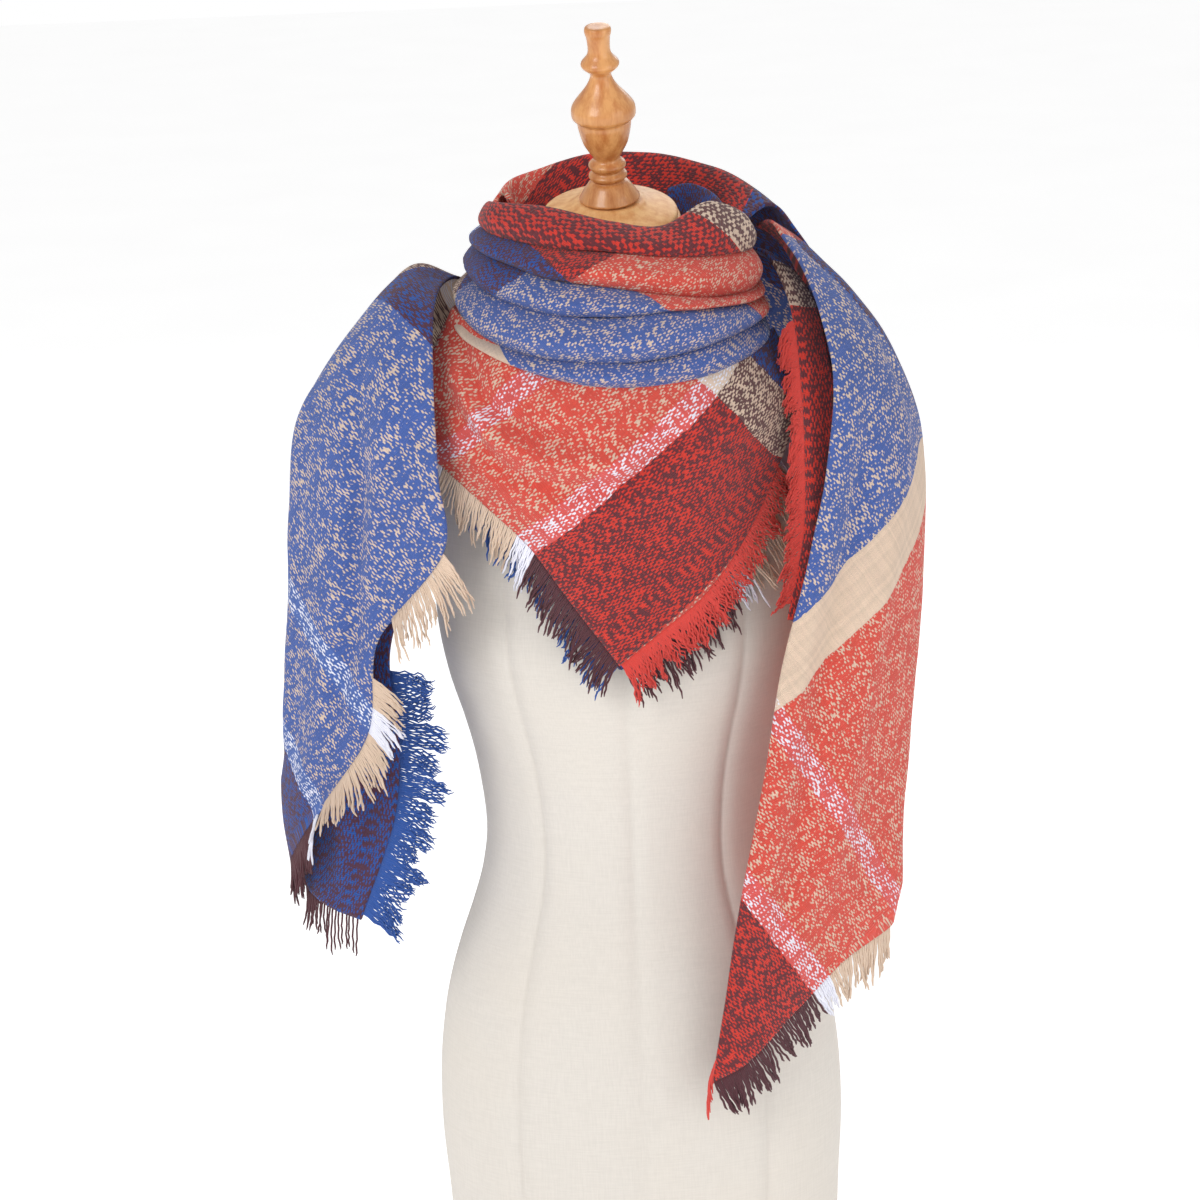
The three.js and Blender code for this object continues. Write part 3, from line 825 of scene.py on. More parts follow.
@dataclass
class Fringe:
    """A row of loose yarns beyond one stretch of a sheet's edge.

    The run goes from one share of the edge to another. Its yarns reach outwards, bent down by the droop,
    and lie in tufts that draw together at their tips by the clump and lean by the splay. reach_end is the
    reach at the run's far end, where it differs. Lengths are millimetres, and the rest are shares of the
    reach.
    """

    name: str
    sheet: Stretch
    edge: Edge
    start: float
    end: float
    reach: float = 40.0
    droop: float = 0.4
    weft: bool = False
    spacing: float = 1.9
    radius: float = 0.8
    tuft: int = 4
    clump: float = 0.6
    splay: float = 0.13
    crimp: float = 0.5
    seed: int = 1
    reach_end: float | None = None
    sides: int = 5
    steps: int = 9
    root_depth: float = 1.5
    root_shift: float = 0.2
    arch: float = 0.35
    sway: float = 0.08
    looseness: float = 6.0
    lift: float = 1.2
    uneven: float = 0.12
    most_uneven: float = 1.5
    tuft_point: float = 0.5
    shortest: float = 0.88
    longest: float = 1.04
    crimp_turns: tuple[float, float] = (14, 22)
    stands_for_node: bool = True

    def root(self, share: float) -> tuple[float, float]:
        """The place across and down the sheet at a share of the way along the fringe."""
        along = self.start + (self.end - self.start) * share
        return {Edge.BOTTOM: (along, 1.0), Edge.RIGHT: (1.0, along), Edge.LEFT: (0.0, along)}[self.edge]

    def inside(self, u: float, v: float) -> tuple[float, float]:
        """A place a little way in from an edge point."""
        return {Edge.BOTTOM: (u, 0.96), Edge.RIGHT: (0.94, v), Edge.LEFT: (0.06, v)}[self.edge]

    def build(self, finishes: Finishes) -> bpy.types.Object:
        """Makes every yarn, joined to one piece.

        Args:
            finishes: the materials.
        Returns:
            The finished object.
        """
        rng = np.random.default_rng(self.seed)
        shares = np.linspace(0, 1, EDGE_MEASURES)
        roots = np.array([self.sheet.point(*self.root(share)) for share in shares])
        length = np.linalg.norm(np.diff(roots, axis=0), axis=1).sum()
        count = max(2, round(length / self.spacing))
        yarns, places = [], []
        tuft = rng.normal(0, 1, (2, count // self.tuft + 3))
        for i in range(count):
            share = (i + 0.5 + rng.uniform(-self.root_shift, self.root_shift)) / count
            yarns.append(self.yarn_line(share, i, tuft, rng))
            places.append(self.sheet.sample(self.sheet.cloth, *self.root(share)))
        mesh = tube_mesh(self.name, np.array(yarns), np.array(places), self.radius, self.sides)
        material = finishes.weft_yarn if self.weft else finishes.warp_yarn
        nodes = [self.name] if self.stands_for_node else []
        return add_piece(f"{self.name}_yarns", mesh, material, "fringe_yarn", *nodes)

    def yarn_line(self, share: float, number: int, tuft: np.ndarray, rng: np.random.Generator) -> np.ndarray:
        """Lays one yarn, from its root to its tip.

        Args:
            share: the place of its root along the fringe.
            number: its number in the fringe.
            tuft: the lean and the length of each tuft, as random numbers.
            rng: the fringe's random numbers.
        Returns:
            The yarn's points, in millimetres.
        """
        u, v = self.root(share)
        root = self.sheet.point(u, v)
        before = self.sheet.point(*self.root(max(share - EDGE_NEARBY, 0)))
        after = self.sheet.point(*self.root(min(share + EDGE_NEARBY, 1)))
        along = (after - before) / max(np.linalg.norm(after - before), 1e-9)
        normal = self.sheet.sample(self.sheet.normals, u, v)
        outward = np.cross(normal, along)
        outward /= np.linalg.norm(outward)
        if outward @ (root - self.sheet.point(*self.inside(u, v))) < 0:
            outward = -outward
        hang = outward * (1 - self.droop) + np.array([0, 0, -1.0]) * self.droop
        hang /= np.linalg.norm(hang)
        last = self.reach if self.reach_end is None else self.reach_end
        group = number / self.tuft + 0.5
        off = round(group) - group
        lean = np.interp(group, np.arange(tuft.shape[1]), tuft[0]) * self.splay
        longer = float(np.clip(tuft[1, round(group)], -self.most_uneven, self.most_uneven))
        length = 1 + self.uneven * longer - self.tuft_point * off**2
        full = self.reach + (last - self.reach) * share
        reach = full * length * rng.uniform(self.shortest, self.longest)
        pull = off * self.clump * self.tuft * self.spacing
        sway, loose, _ = rng.normal(0, self.sway, 3)
        kink, waves = rng.uniform(0, 2 * math.pi), rng.uniform(*self.crimp_turns)
        points = []
        for f in np.linspace(0, 1, self.steps):
            arch = outward * reach * f * (1 - f) * self.arch
            way = root - outward * self.root_depth + arch + hang * reach * f
            way = way + along * (lean * reach * f**1.5 + pull * f)
            way = way + normal * (sway * reach * f**2 - CLOTH_WALL / 2 + self.lift * f)
            way = way + along * (self.crimp * math.sin(kink + waves * f) * min(1, 3 * f))
            way = way + hang * (loose * self.looseness * f)
            points.append(way)
        return np.array(points)


def tube_mesh(name: str, lines: np.ndarray, places: np.ndarray, radius: float, sides: int) -> bpy.types.Mesh:
    """Joins many thin tubes with closed, tapered ends into one mesh.

    Args:
        name: the mesh's name.
        lines: the points of each tube's middle line, in millimetres.
        places: each tube's place on the square, in millimetres.
        radius: the tubes' radius, in millimetres.
        sides: how many sides a tube has.
    Returns:
        The mesh, with one UV map for the place on the square and one for the place along the tube.
    """
    count, steps = lines.shape[:2]
    template = bmesh.new()
    bmesh.ops.create_cone(template, cap_ends=True, segments=sides, radius1=1, radius2=1, depth=1)
    bmesh.ops.subdivide_edges(template, edges=upright_edges(template), cuts=steps - 2)
    template.verts.ensure_lookup_table()
    rest = np.array([tuple(v.co) for v in template.verts])
    step_of = np.rint((rest[:, 2] + 0.5) * (steps - 1)).astype(int)
    angle = np.arctan2(rest[:, 1], rest[:, 0])
    ways = np.gradient(lines, axis=1)
    ways /= np.linalg.norm(ways, axis=2, keepdims=True)
    side = np.cross(ways, np.array([0.0, 1.0, 0.0]))
    side /= np.maximum(np.linalg.norm(side, axis=2, keepdims=True), 1e-6)
    other = np.cross(ways, side)
    taper = radius * np.interp(np.arange(steps), [0, steps - 2, steps - 1], YARN_TAPER)
    ring = side[:, step_of] * np.cos(angle)[:, None] + other[:, step_of] * np.sin(angle)[:, None]
    verts = (lines[:, step_of] + ring * taper[step_of][:, None]).reshape(-1, 3) * MM
    per = len(rest)
    one = finished_mesh(template, "one yarn")
    joined = bmesh.new()
    for _ in range(count):
        joined.from_mesh(one)
    mesh = finished_mesh(joined, name)
    bpy.data.meshes.remove(one)
    mesh.vertices.foreach_set("co", verts.astype(np.float32).ravel())
    mesh.polygons.foreach_set("use_smooth", [True] * len(mesh.polygons))
    loop_verts = np.zeros(len(mesh.loops), int)
    mesh.loops.foreach_get("vertex_index", loop_verts)
    cloth = mesh.uv_layers.new(name=CLOTH_UV)
    cloth.data.foreach_set("uv", (places[loop_verts // per] * MM).astype(np.float32).ravel())
    along = mesh.uv_layers.new(name=ALONG_UV)
    corner = loop_verts % per
    lengthwise = np.stack([angle[corner] / (2 * math.pi), step_of[corner] / (steps - 1)], -1)
    along.data.foreach_set("uv", lengthwise.astype(np.float32).ravel())
    mesh.update()
    return mesh


# ------------------------------------------------------------------ the dress form


@dataclass(frozen=True)
class Section:
    """A cross-section of the torso: its height, half width, depth in front and behind, and squareness.

    A squareness of 2 makes half ellipses, and more fills their corners.
    """

    z: float
    half: float
    front: float
    back: float
    square: float = 2.2

    def point(self, angle: float) -> Vector:
        """Finds a point of the section.

        Args:
            angle: its direction from +X, in radians.
        Returns:
            The point, in millimetres.
        """
        across, depth = math.cos(angle), math.sin(angle)
        side = self.front if depth < 0 else self.back
        x = math.copysign(abs(across) ** (2 / self.square), across)
        y = math.copysign(abs(depth) ** (2 / self.square), depth)
        return Vector((self.half * x, side * y, self.z))


@dataclass
class DressForm:
    """The limbless linen torso with its turned wooden cap and finial.

    Each neck section has its middle's depth and height, its radius, and its share of the neck's lean. The
    profiles are pairs of radius and height, and the seams' angles are in degrees.
    """

    sections: tuple[Section, ...] = (
        Section(0, 160, 98, 106), Section(7, 166, 104, 112), Section(60, 169, 106, 116),
        Section(114, 172, 106, 118), Section(165, 171, 105, 116), Section(205, 167, 103, 110),
        Section(244, 160, 100, 102), Section(281, 149, 96, 94), Section(317, 136, 91, 87),
        Section(351, 126, 87, 82, 2.15), Section(390, 121, 86, 79, 2.15), Section(443, 126, 92, 82, 2.15),
        Section(486, 135, 102, 87), Section(527, 146, 114, 92, 2.25), Section(565, 152, 120, 96, 2.3),
        Section(605, 154, 114, 100, 2.3), Section(650, 158, 102, 103, 2.3), Section(700, 170, 88, 104, 2.3),
        Section(735, 176, 74, 101, 2.3), Section(765, 168, 60, 94), Section(783, 146, 52, 86, 2.1),
        Section(797, 116, 48, 80, 2), Section(809, 90, 46, 75, 2),
    )
    neck_sections: tuple[tuple[float, float, float, float], ...] = (
        (10, 822, 69, 0.3), (4, 838, 61, 0.6), (-3, 858, 56, 0.9), (-14, 893, 53, 1),
    )
    neck_top: tuple[float, float, float] = (1, -14, 893)
    neck_lean: float = math.radians(15)
    finial_lean: float = math.radians(-2)
    turned_gap: float = 0.3
    cap_height: float = 17
    finial_foot: float = 22
    seam_angles: tuple[float, ...] = (-90, -55, -2, 48, 90, 132, 182, 235)
    seam_depth: float = 1.6
    seam_half: float = 1.1
    panel_columns: int = 8
    levels: int = 110
    turned_steps: int = 72
    cap_profile: tuple[tuple[float, float], ...] = (
        (0, 0), (51, 0), (53, 2), (53, 6), (51, 8), (46, 10), (38, 12), (30, 14.5), (24, 17), (0, 17),
    )
    finial_profile: tuple[tuple[float, float], ...] = (
        (0, 0), (22, 0), (22, 4), (17.5, 11), (15, 14), (12.5, 16), (14.8, 18.5), (14.8, 21), (12.2, 24),
        (14.4, 27), (14.2, 30), (11, 33), (11, 36), (14, 41), (18, 49), (20.7, 61), (21, 66), (24.6, 69),
        (25, 74), (24, 78), (20.5, 83), (13, 92), (9, 99), (8.6, 104), (14, 109), (14.4, 113), (9, 120),
        (9, 131), (10.2, 136), (10.2, 139), (8.5, 141), (0, 141),
    )

    def ring_point(self, level: int, angle: float) -> Vector:
        """Finds a point of one given section.

        Args:
            level: the section's number, through the torso's sections and then the neck's.
            angle: the direction from +X, in radians.
        Returns:
            The point, in millimetres.
        """
        if level < len(self.sections):
            return self.sections[level].point(angle)
        y, z, radius, lean = self.neck_sections[level - len(self.sections)]
        way = Vector((math.cos(angle), math.sin(angle), 0))
        turned = Matrix.Rotation(self.neck_lean * lean, 3, "X") @ way
        return Vector((self.neck_top[0], y, z)) + turned * radius

    def column_angles(self) -> list[tuple[float, float]]:
        """Spreads the torso's columns of points, with one in each seam.

        Returns:
            Each column's angle in radians, and how much of the seam's groove it takes.
        """
        columns = []
        ends = [*self.seam_angles[1:], self.seam_angles[0] + 360]
        for start, end in zip(self.seam_angles, ends):
            columns.append((start, 1.0))
            inner = np.linspace(start + self.seam_half, end - self.seam_half, self.panel_columns)
            columns.extend((angle, 0.0) for angle in inner)
        return [(math.radians(angle), groove) for angle, groove in columns]

    def build_torso(self, finishes: Finishes) -> bpy.types.Object:
        """Makes the linen torso, with its seams as fine grooves.

        Args:
            finishes: the materials.
        Returns:
            The finished object.
        """
        columns = self.column_angles()
        count = len(self.sections) + len(self.neck_sections)
        weights = spline_weights(count, np.linspace(0, 1, self.levels))
        bm = bmesh.new()
        bmesh.ops.create_cone(bm, cap_ends=True, segments=len(columns), radius1=1, radius2=1, depth=1)
        bmesh.ops.subdivide_edges(bm, edges=upright_edges(bm), cuts=self.levels - 2)
        lines = []
        for angle, groove in columns:
            line = weights @ np.array([tuple(self.ring_point(level, angle)) for level in range(count)])
            line -= groove * self.seam_depth * np.array([math.cos(angle), math.sin(angle), 0])
            lines.append(line)
        for vert in bm.verts:
            column = round(math.atan2(vert.co.y, vert.co.x) / (2 * math.pi) * len(columns)) % len(columns)
            level = round((vert.co.z + 0.5) * (self.levels - 1))
            vert.co = Vector(lines[column][level] * MM)
        for face in bm.faces:
            face.smooth = len(face.verts) == 4
        bmesh.ops.recalc_face_normals(bm, faces=bm.faces)
        mesh = finished_mesh(bm, "torso_linen")
        return add_piece("torso_linen", mesh, finishes.linen, "linen", "form_torso")

    def turned_mesh(
        self, name: str, profile: tuple[tuple[float, float], ...], place: Matrix,
    ) -> bpy.types.Mesh:
        """A turned body about +Z from its profile, moved to its place.

        Args:
            name: the mesh's name.
            profile: radius and height of each point, which starts and ends on the axis.
            place: where the turned body goes.
        Returns:
            The mesh, in metres.
        """
        fine = spline_weights(len(profile), np.linspace(0, 1, 4 * (len(profile) - 1) + 1)) @ np.array(profile)
        bm = bmesh.new()
        verts = [bm.verts.new((max(radius, 0), 0, height)) for radius, height in fine]
        edges = [bm.edges.new(pair) for pair in zip(verts[:-1], verts[1:])]
        bmesh.ops.spin(
            bm, geom=[*verts, *edges], cent=(0, 0, 0), axis=(0, 0, 1), angle=2 * math.pi,
            steps=self.turned_steps, use_merge=True, use_duplicate=False,
        )
        bmesh.ops.remove_doubles(bm, verts=bm.verts, dist=0.01)
        bmesh.ops.dissolve_degenerate(bm, edges=bm.edges, dist=0.005)
        bmesh.ops.recalc_face_normals(bm, faces=bm.faces)
        for face in bm.faces:
            face.smooth = True
        bmesh.ops.transform(bm, matrix=Matrix.Scale(MM, 4) @ place, verts=bm.verts)
        return finished_mesh(bm, name)

    def build(self, finishes: Finishes) -> None:
        """Makes the torso, the cap and the finial.

        Args:
            finishes: the materials.
        """
        self.build_torso(finishes)
        neck = Matrix.Translation(self.neck_top) @ Matrix.Rotation(self.neck_lean, 4, "X")
        cap = neck @ Matrix.Translation((0, 0, self.turned_gap))
        foot = self.cap_height + 2 * self.turned_gap + self.finial_foot * math.sin(abs(self.finial_lean))
        finial = neck @ Matrix.Translation((0, 0, foot)) @ Matrix.Rotation(self.finial_lean, 4, "Y")
        mesh = self.turned_mesh("cap_turned", self.cap_profile, cap)
        # The cap's wood holds painted light on its upturned face.
        add_piece("cap_turned", mesh, finishes.lit_cap_wood, "wood", "neck_cap")
        mesh = self.turned_mesh("finial_turned", self.finial_profile, finial)
        add_piece("finial_turned", mesh, finishes.wood, "wood", "finial")


# ------------------------------------------------------------------ the wound collar


def shifted(row: Row, dx: float, dy: float, dz: float) -> Row:
    """The row moved as a whole."""
    return [(x + dx, y + dy, z + dz) for x, y, z in row]


@dataclass
class Collar:
    """The five rolls round the neck, from the one that stands up round the cap to the one above the bib.

    Each crease is the line under a roll, from the left end round the front to the right end.
    """

    creases: tuple[Row, ...] = (
        [(-82, 22, 891), (-101, -20, 894), (-90, -70, 894), (-48, -108, 889), (-1, -124, 886),
         (38, -121, 881), (78, -98, 876), (107, -58, 872), (112, -8, 868)],
        [(-96, 22, 874), (-108, -22, 877), (-94, -78, 877), (-50, -120, 866), (-3, -138, 861),
         (36, -134, 854), (76, -110, 846), (111, -62, 842), (115, -8, 846)],
        [(-98, 22, 852), (-113, -24, 856), (-98, -86, 850), (-52, -132, 842), (-4, -149, 840),
         (38, -145, 842), (77, -121, 839), (112, -66, 834), (115, -8, 838)],
        [(-100, 22, 828), (-121, -28, 834), (-106, -88, 820), (-60, -138, 810), (-5, -156, 807),
         (36, -152, 808), (78, -127, 814), (114, -70, 818), (115, -8, 824)],
        [(-102, 22, 812), (-124, -36, 822), (-108, -93, 812), (-62, -139, 797), (-5, -155, 788),
         (38, -151, 788), (82, -131, 793), (117, -78, 800), (116, -10, 806)],
    )
    top_rows: tuple[Row, ...] = (
        [(-70, 20, 884), (-84, -20, 886), (-72, -56, 887), (-40, -80, 885), (0, -90, 881),
         (36, -88, 877), (66, -68, 878), (90, -38, 874), (98, -4, 870)],
        [(-73, 22, 900), (-92, -20, 911), (-81, -64, 917), (-45, -90, 916), (0, -102, 906),
         (40, -98, 900), (74, -76, 914), (101, -46, 900), (106, -6, 886)],
        [(-79, 23, 896), (-101, -22, 903), (-93, -73, 907), (-51, -110, 903), (-1, -124, 897),
         (41, -120, 890), (82, -98, 894), (111, -56, 886), (114, -8, 877)],
    )
    axis: tuple[float, float] = (4, -5)
    bulge: tuple[float, ...] = (0, 13, 12, 15, 11)
    tuck: float = 12
    crease_depth: float = 3
    gap: float = 0.4
    lies: tuple[Lie, ...] = (
        Lie((0.8, 0.6), (25, 203), (-1.84, 1.6), (0.7, 0.7)),
        Lie((0.4, 1.0), (-8, -12), (-0.70, 0.72), (0.775, 0.634)),
        Lie((0.5, 0.5), (-66, -29), (-0.70, 0.72), (0.775, 0.634)),
        Lie((0.5, 0.5), (-130, -110), (-0.70, 0.72), (0.775, 0.634)),
        Lie((0.5, 0.5), (-150, -167), (-0.70, 0.72), (0.775, 0.634)),
    )
    flats: tuple[tuple[float, float], ...] = ((375, 72), (400, 51), (430, 44), (455, 53), (465, 41))
    folds: tuple[tuple[Fold, ...], ...] = (
        (), (), (), (), (Fold(((0.55, 0.62), (0.7, 0.5), (0.85, 0.42)), -3, 4),),
    )
    end_shift: tuple[float, float] = (-13, 16)
    end_swell: float = 0.6

    def outward(self, row: Row, lower: Row, by: list[float]) -> Row:
        """Moves the middle of two rows away from the collar's axis.

        Args:
            row: the first row.
            lower: the second row.
            by: how far each point moves.
        Returns:
            The new row.
        """
        moved = []
        for (x0, y0, z0), (x1, y1, z1), step in zip(row, lower, by):
            x, y = (x0 + x1) / 2, (y0 + y1) / 2
            length = math.hypot(x - self.axis[0], y - self.axis[1])
            scale = step / length
            moved.append((x + (x - self.axis[0]) * scale, y + (y - self.axis[1]) * scale, (z0 + z1) / 2))
        return moved

    def wrapped(self, rows: list[Row]) -> list[Row]:
        """The rows with their left ends led round the outside of the back stretch."""
        return [[*shifted(row[:1], *self.end_shift, 0), *row[1:]] for row in rows]

    def rows(self, k: int) -> list[Row]:
        """Works out one roll, whose long edges tuck in behind its neighbours.

        Args:
            k: the roll's number, from 0 for the highest.
        Returns:
            The roll's rows.
        """
        inward = [-self.tuck] * len(self.creases[0])
        if k == 0:
            lower = shifted(self.creases[0], 0, 0, self.gap)
            return [*self.top_rows, lower, self.outward(lower, lower, inward)]
        count = len(self.creases[k])
        sink = [-self.crease_depth] * count
        upper = shifted(self.outward(self.creases[k - 1], self.creases[k - 1], sink), 0, 0, -self.gap)
        lower = shifted(self.outward(self.creases[k], self.creases[k], sink), 0, 0, self.gap)
        span = count - 1 + 2 * self.end_swell
        arcs = [math.sin(math.pi * (i + self.end_swell) / span) for i in range(count)]
        swell = [self.bulge[k] * arc**0.5 for arc in arcs]
        middle = self.outward(upper, lower, swell)
        high, low = self.outward(upper, upper, inward), self.outward(lower, lower, inward)
        return [high, upper, middle, lower, low]

    def stretches(self) -> list[Stretch]:
        """The five rolls as sheets."""
        return [
            Stretch(
                f"roll_{k + 1}", self.wrapped(self.rows(k)), self.lies[k], self.flats[k], held="gathered",
                folds=self.folds[k], cell=3.2, ripple=1.4,
            )
            for k in range(len(self.creases))
        ]


@dataclass
class NeckBack:
    """The stretch that stands up behind the neck, and the low fold inside its right."""

    outer_rows: tuple[Row, ...] = (
        [(-80, 27, 866), (-76, 44, 864), (-62, 66, 862), (-35, 86, 862), (0, 92, 862),
         (36, 88, 862), (64, 66, 862), (78, 36, 862), (84, 6, 862)],
        [(-90, 27, 890), (-86, 46, 894), (-68, 70, 899), (-38, 91, 906), (0, 99, 910),
         (38, 96, 906), (70, 78, 900), (92, 50, 892), (104, 16, 880)],
        [(-100, 27, 905), (-95, 50, 909), (-74, 75, 915), (-42, 98, 923), (0, 108, 929),
         (40, 106, 926), (78, 92, 919), (106, 70, 908), (130, 40, 892)],
        [(-109, 18, 896), (-107, 50, 897), (-86, 85, 901), (-50, 114, 906), (0, 127, 908),
         (46, 125, 906), (90, 110, 901), (124, 84, 890), (150, 48, 872)],
        [(-113, 4, 882), (-115, 50, 880), (-97, 95, 874), (-58, 130, 861), (0, 144, 851),
         (54, 143, 850), (106, 130, 848), (148, 100, 838), (180, 60, 822)],
        [(-116, -3, 870), (-120, 51, 862), (-106, 102, 842), (-63, 141, 812), (0, 155, 790),
         (60, 154, 786), (118, 141, 784), (166, 110, 776), (204, 64, 764)],
        [(-117, -5, 860), (-123, 52, 848), (-111, 106, 812), (-66, 148, 770), (0, 163, 735),
         (64, 162, 730), (126, 147, 730), (180, 114, 722), (222, 66, 706)],
    )
    fold_rows: tuple[Row, ...] = (
        [(48, 62, 872), (62, 52, 872), (74, 34, 870), (82, 10, 868)],
        [(48, 66, 896), (64, 56, 899), (78, 38, 896), (88, 10, 884)],
        [(50, 71, 904), (67, 62, 908), (83, 44, 903), (95, 12, 892)],
        [(52, 78, 896), (70, 68, 898), (86, 48, 892), (98, 16, 882)],
    )

    end_shift: tuple[float, float] = (16, 26)
    next_shift: tuple[float, float] = (11, 4)

    def tucked(self) -> list[Row]:
        """The outer rows with their left ends led in behind the rolls."""
        return [
            [*shifted(row[:1], *self.end_shift, 0), *shifted(row[1:2], *self.next_shift, 0), *row[2:]]
            for row in self.outer_rows
        ]

    def stretches(self) -> list[Stretch]:
        """Makes the outer stretch and the low fold.

        Returns:
            The two sheets.
        """
        outer_folds = (
            Fold(((0.1, 0.5), (0.35, 0.7), (0.6, 0.78), (0.9, 0.7)), -7, 14),
            Fold(((0.15, 0.72), (0.4, 0.9), (0.7, 0.93), (0.95, 0.85)), 6, 13),
            Fold(((0.2, 0.42), (0.45, 0.55), (0.7, 0.55), (0.95, 0.5)), 4, 12),
        )
        outer_lie = Lie((0.3, 0.33), (-18, 142), (0.55, 0.84), (-1.05, 0.69), (-460, 197))
        outer = Stretch(
            "back_collar", self.tucked(), outer_lie, (536, 286), 0.58, folds=outer_folds,
            side=-1, cell=4.5, ripple=1.6,
        )
        fold_lie = Lie((0.5, 0.5), (54, 350), (1, 0), (0, 1))
        fold = Stretch(
            "inner_fold", list(self.fold_rows), fold_lie, (76, 48), held="gathered", side=-1, cell=3,
        )
        return [outer, fold]


# ------------------------------------------------------------------ the bib


@dataclass
class Bib:
    """The triangle on the chest, whose two fringed edges meet in a corner, and the layer under it."""

    upper_rows: tuple[Row, ...] = (
        [(-130, -56, 824), (-106, -97, 810), (-80, -124, 801), (-45, -145, 792), (-5, -155, 786),
         (36, -152, 786), (74, -137, 789), (106, -106, 794), (130, -62, 800)],
        [(-146, -84, 796), (-112, -120, 778), (-80, -143, 765), (-44, -158, 757), (-4, -165, 750),
         (38, -163, 748), (76, -150, 751), (110, -126, 760), (142, -84, 774)],
        [(-150, -92, 764), (-112, -127, 738), (-78, -149, 718), (-42, -160, 706), (-5, -165, 698),
         (34, -162, 702), (72, -150, 714), (108, -124, 734), (144, -86, 760)],
        [(-150, -98, 732), (-108, -121, 696), (-70, -138, 660), (-38, -146, 614), (-6, -150, 568),
         (30, -147, 596), (64, -138, 622), (102, -119, 670), (143, -88, 752)],
    )
    corner_column: int = 4
    under_depth: float = 11
    under_drop: float = 9
    tuck_depth: float = 5
    tuck_rise: float = 11
    tuck_narrowing: float = 0.96
    flat: tuple[float, float] = (390, 222)

    def tucked_top(self) -> Row:
        """The top row, which goes up behind the lowest roll."""
        row = [(x * self.tuck_narrowing, y, z) for x, y, z in self.upper_rows[0]]
        return shifted(row, 0, self.tuck_depth, self.tuck_rise)

    def under_rows(self, upper: Stretch) -> list[Row]:
        """Works out the layer that lies behind the upper one and hangs a little lower.

        Args:
            upper: the upper layer, without its folds.
        Returns:
            The under layer's rows.
        """
        rows = []
        count, columns = len(self.upper_rows), len(self.upper_rows[0])
        for r in range(1, count):
            row = []
            for c in range(columns):
                u, v = c / (columns - 1), r / (count - 1)
                x, y, z = upper.point(u, v) - upper.sample(upper.normals, u, v) * self.under_depth
                row.append((x, y, z - self.under_drop))
            rows.append(row)
        return rows

    def build(self, finishes: Finishes) -> None:
        """Makes both layers and their fringes.

        Args:
            finishes: the materials.
        """
        swags = (
            Fold(((0.02, 0.05), (0.15, 0.31), (0.27, 0.38), (0.47, 0.35)), -8, 7),
            Fold(((0.03, 0.38), (0.20, 0.67), (0.36, 0.64), (0.52, 0.60), (0.68, 0.27)), -7, 8),
            Fold(((0.05, 0.2), (0.18, 0.48), (0.33, 0.52), (0.52, 0.46), (0.62, 0.3)), 6, 8),
            Fold(((0.6, 0.15), (0.75, 0.3), (0.9, 0.2)), 3, 12),
        )
        lie = Lie((0.5, 1.0), (0, 2), (-0.70, 0.72), (0.806, 0.659))
        plain = Stretch("bib", list(self.upper_rows), lie, self.flat, sharp=self.corner_column, ripple=0)
        plain.lay()
        rows = [self.tucked_top(), *self.upper_rows[1:]]
        upper = Stretch("bib", rows, lie, self.flat, 0.58, folds=swags, sharp=self.corner_column)
        under_lie = Lie((0.5, 1.0), (0, 1400), (0.775, 0.634), (0.70, -0.72))
        rows = self.under_rows(plain)
        under = Stretch("bib_under", rows, under_lie, (380, 180), 0.5, sharp=self.corner_column)
        dress(upper, finishes, [
            Fringe("fringe_bib_left", upper, Edge.BOTTOM, 0.02, 0.495, 38, 0.45,
                   spacing=1.7, radius=0.9, clump=0.3, seed=2),
            Fringe("fringe_bib_right", upper, Edge.BOTTOM, 0.505, 0.94, 34, 0.2, weft=True,
                   spacing=0.75, radius=0.7, tuft=9, crimp=1.2, clump=0.35, seed=3),
        ])
        dress(under, finishes, [
            Fringe("fringe_under_left", under, Edge.BOTTOM, 0.1, 0.49, 38, 0.45, weft=True, spacing=1.7,
                   crimp=0.9, seed=4),
            Fringe("fringe_under_right", under, Edge.BOTTOM, 0.51, 0.96, 42, 0.3,
                   spacing=1.7, radius=0.9, clump=0.3, reach_end=66, seed=5),
        ])


def dress(stretch: Stretch, finishes: Finishes, fringes: list[Fringe]) -> None:
    """Args:
        stretch: the sheet.
        finishes: the materials.
        fringes: the fringes that hang from the sheet.
    """
    stretch.lay()
    yarns = [fringe.build(finishes) for fringe in fringes]
    stretch.build(finishes.plaid)


# ------------------------------------------------------------------ the hanging ends


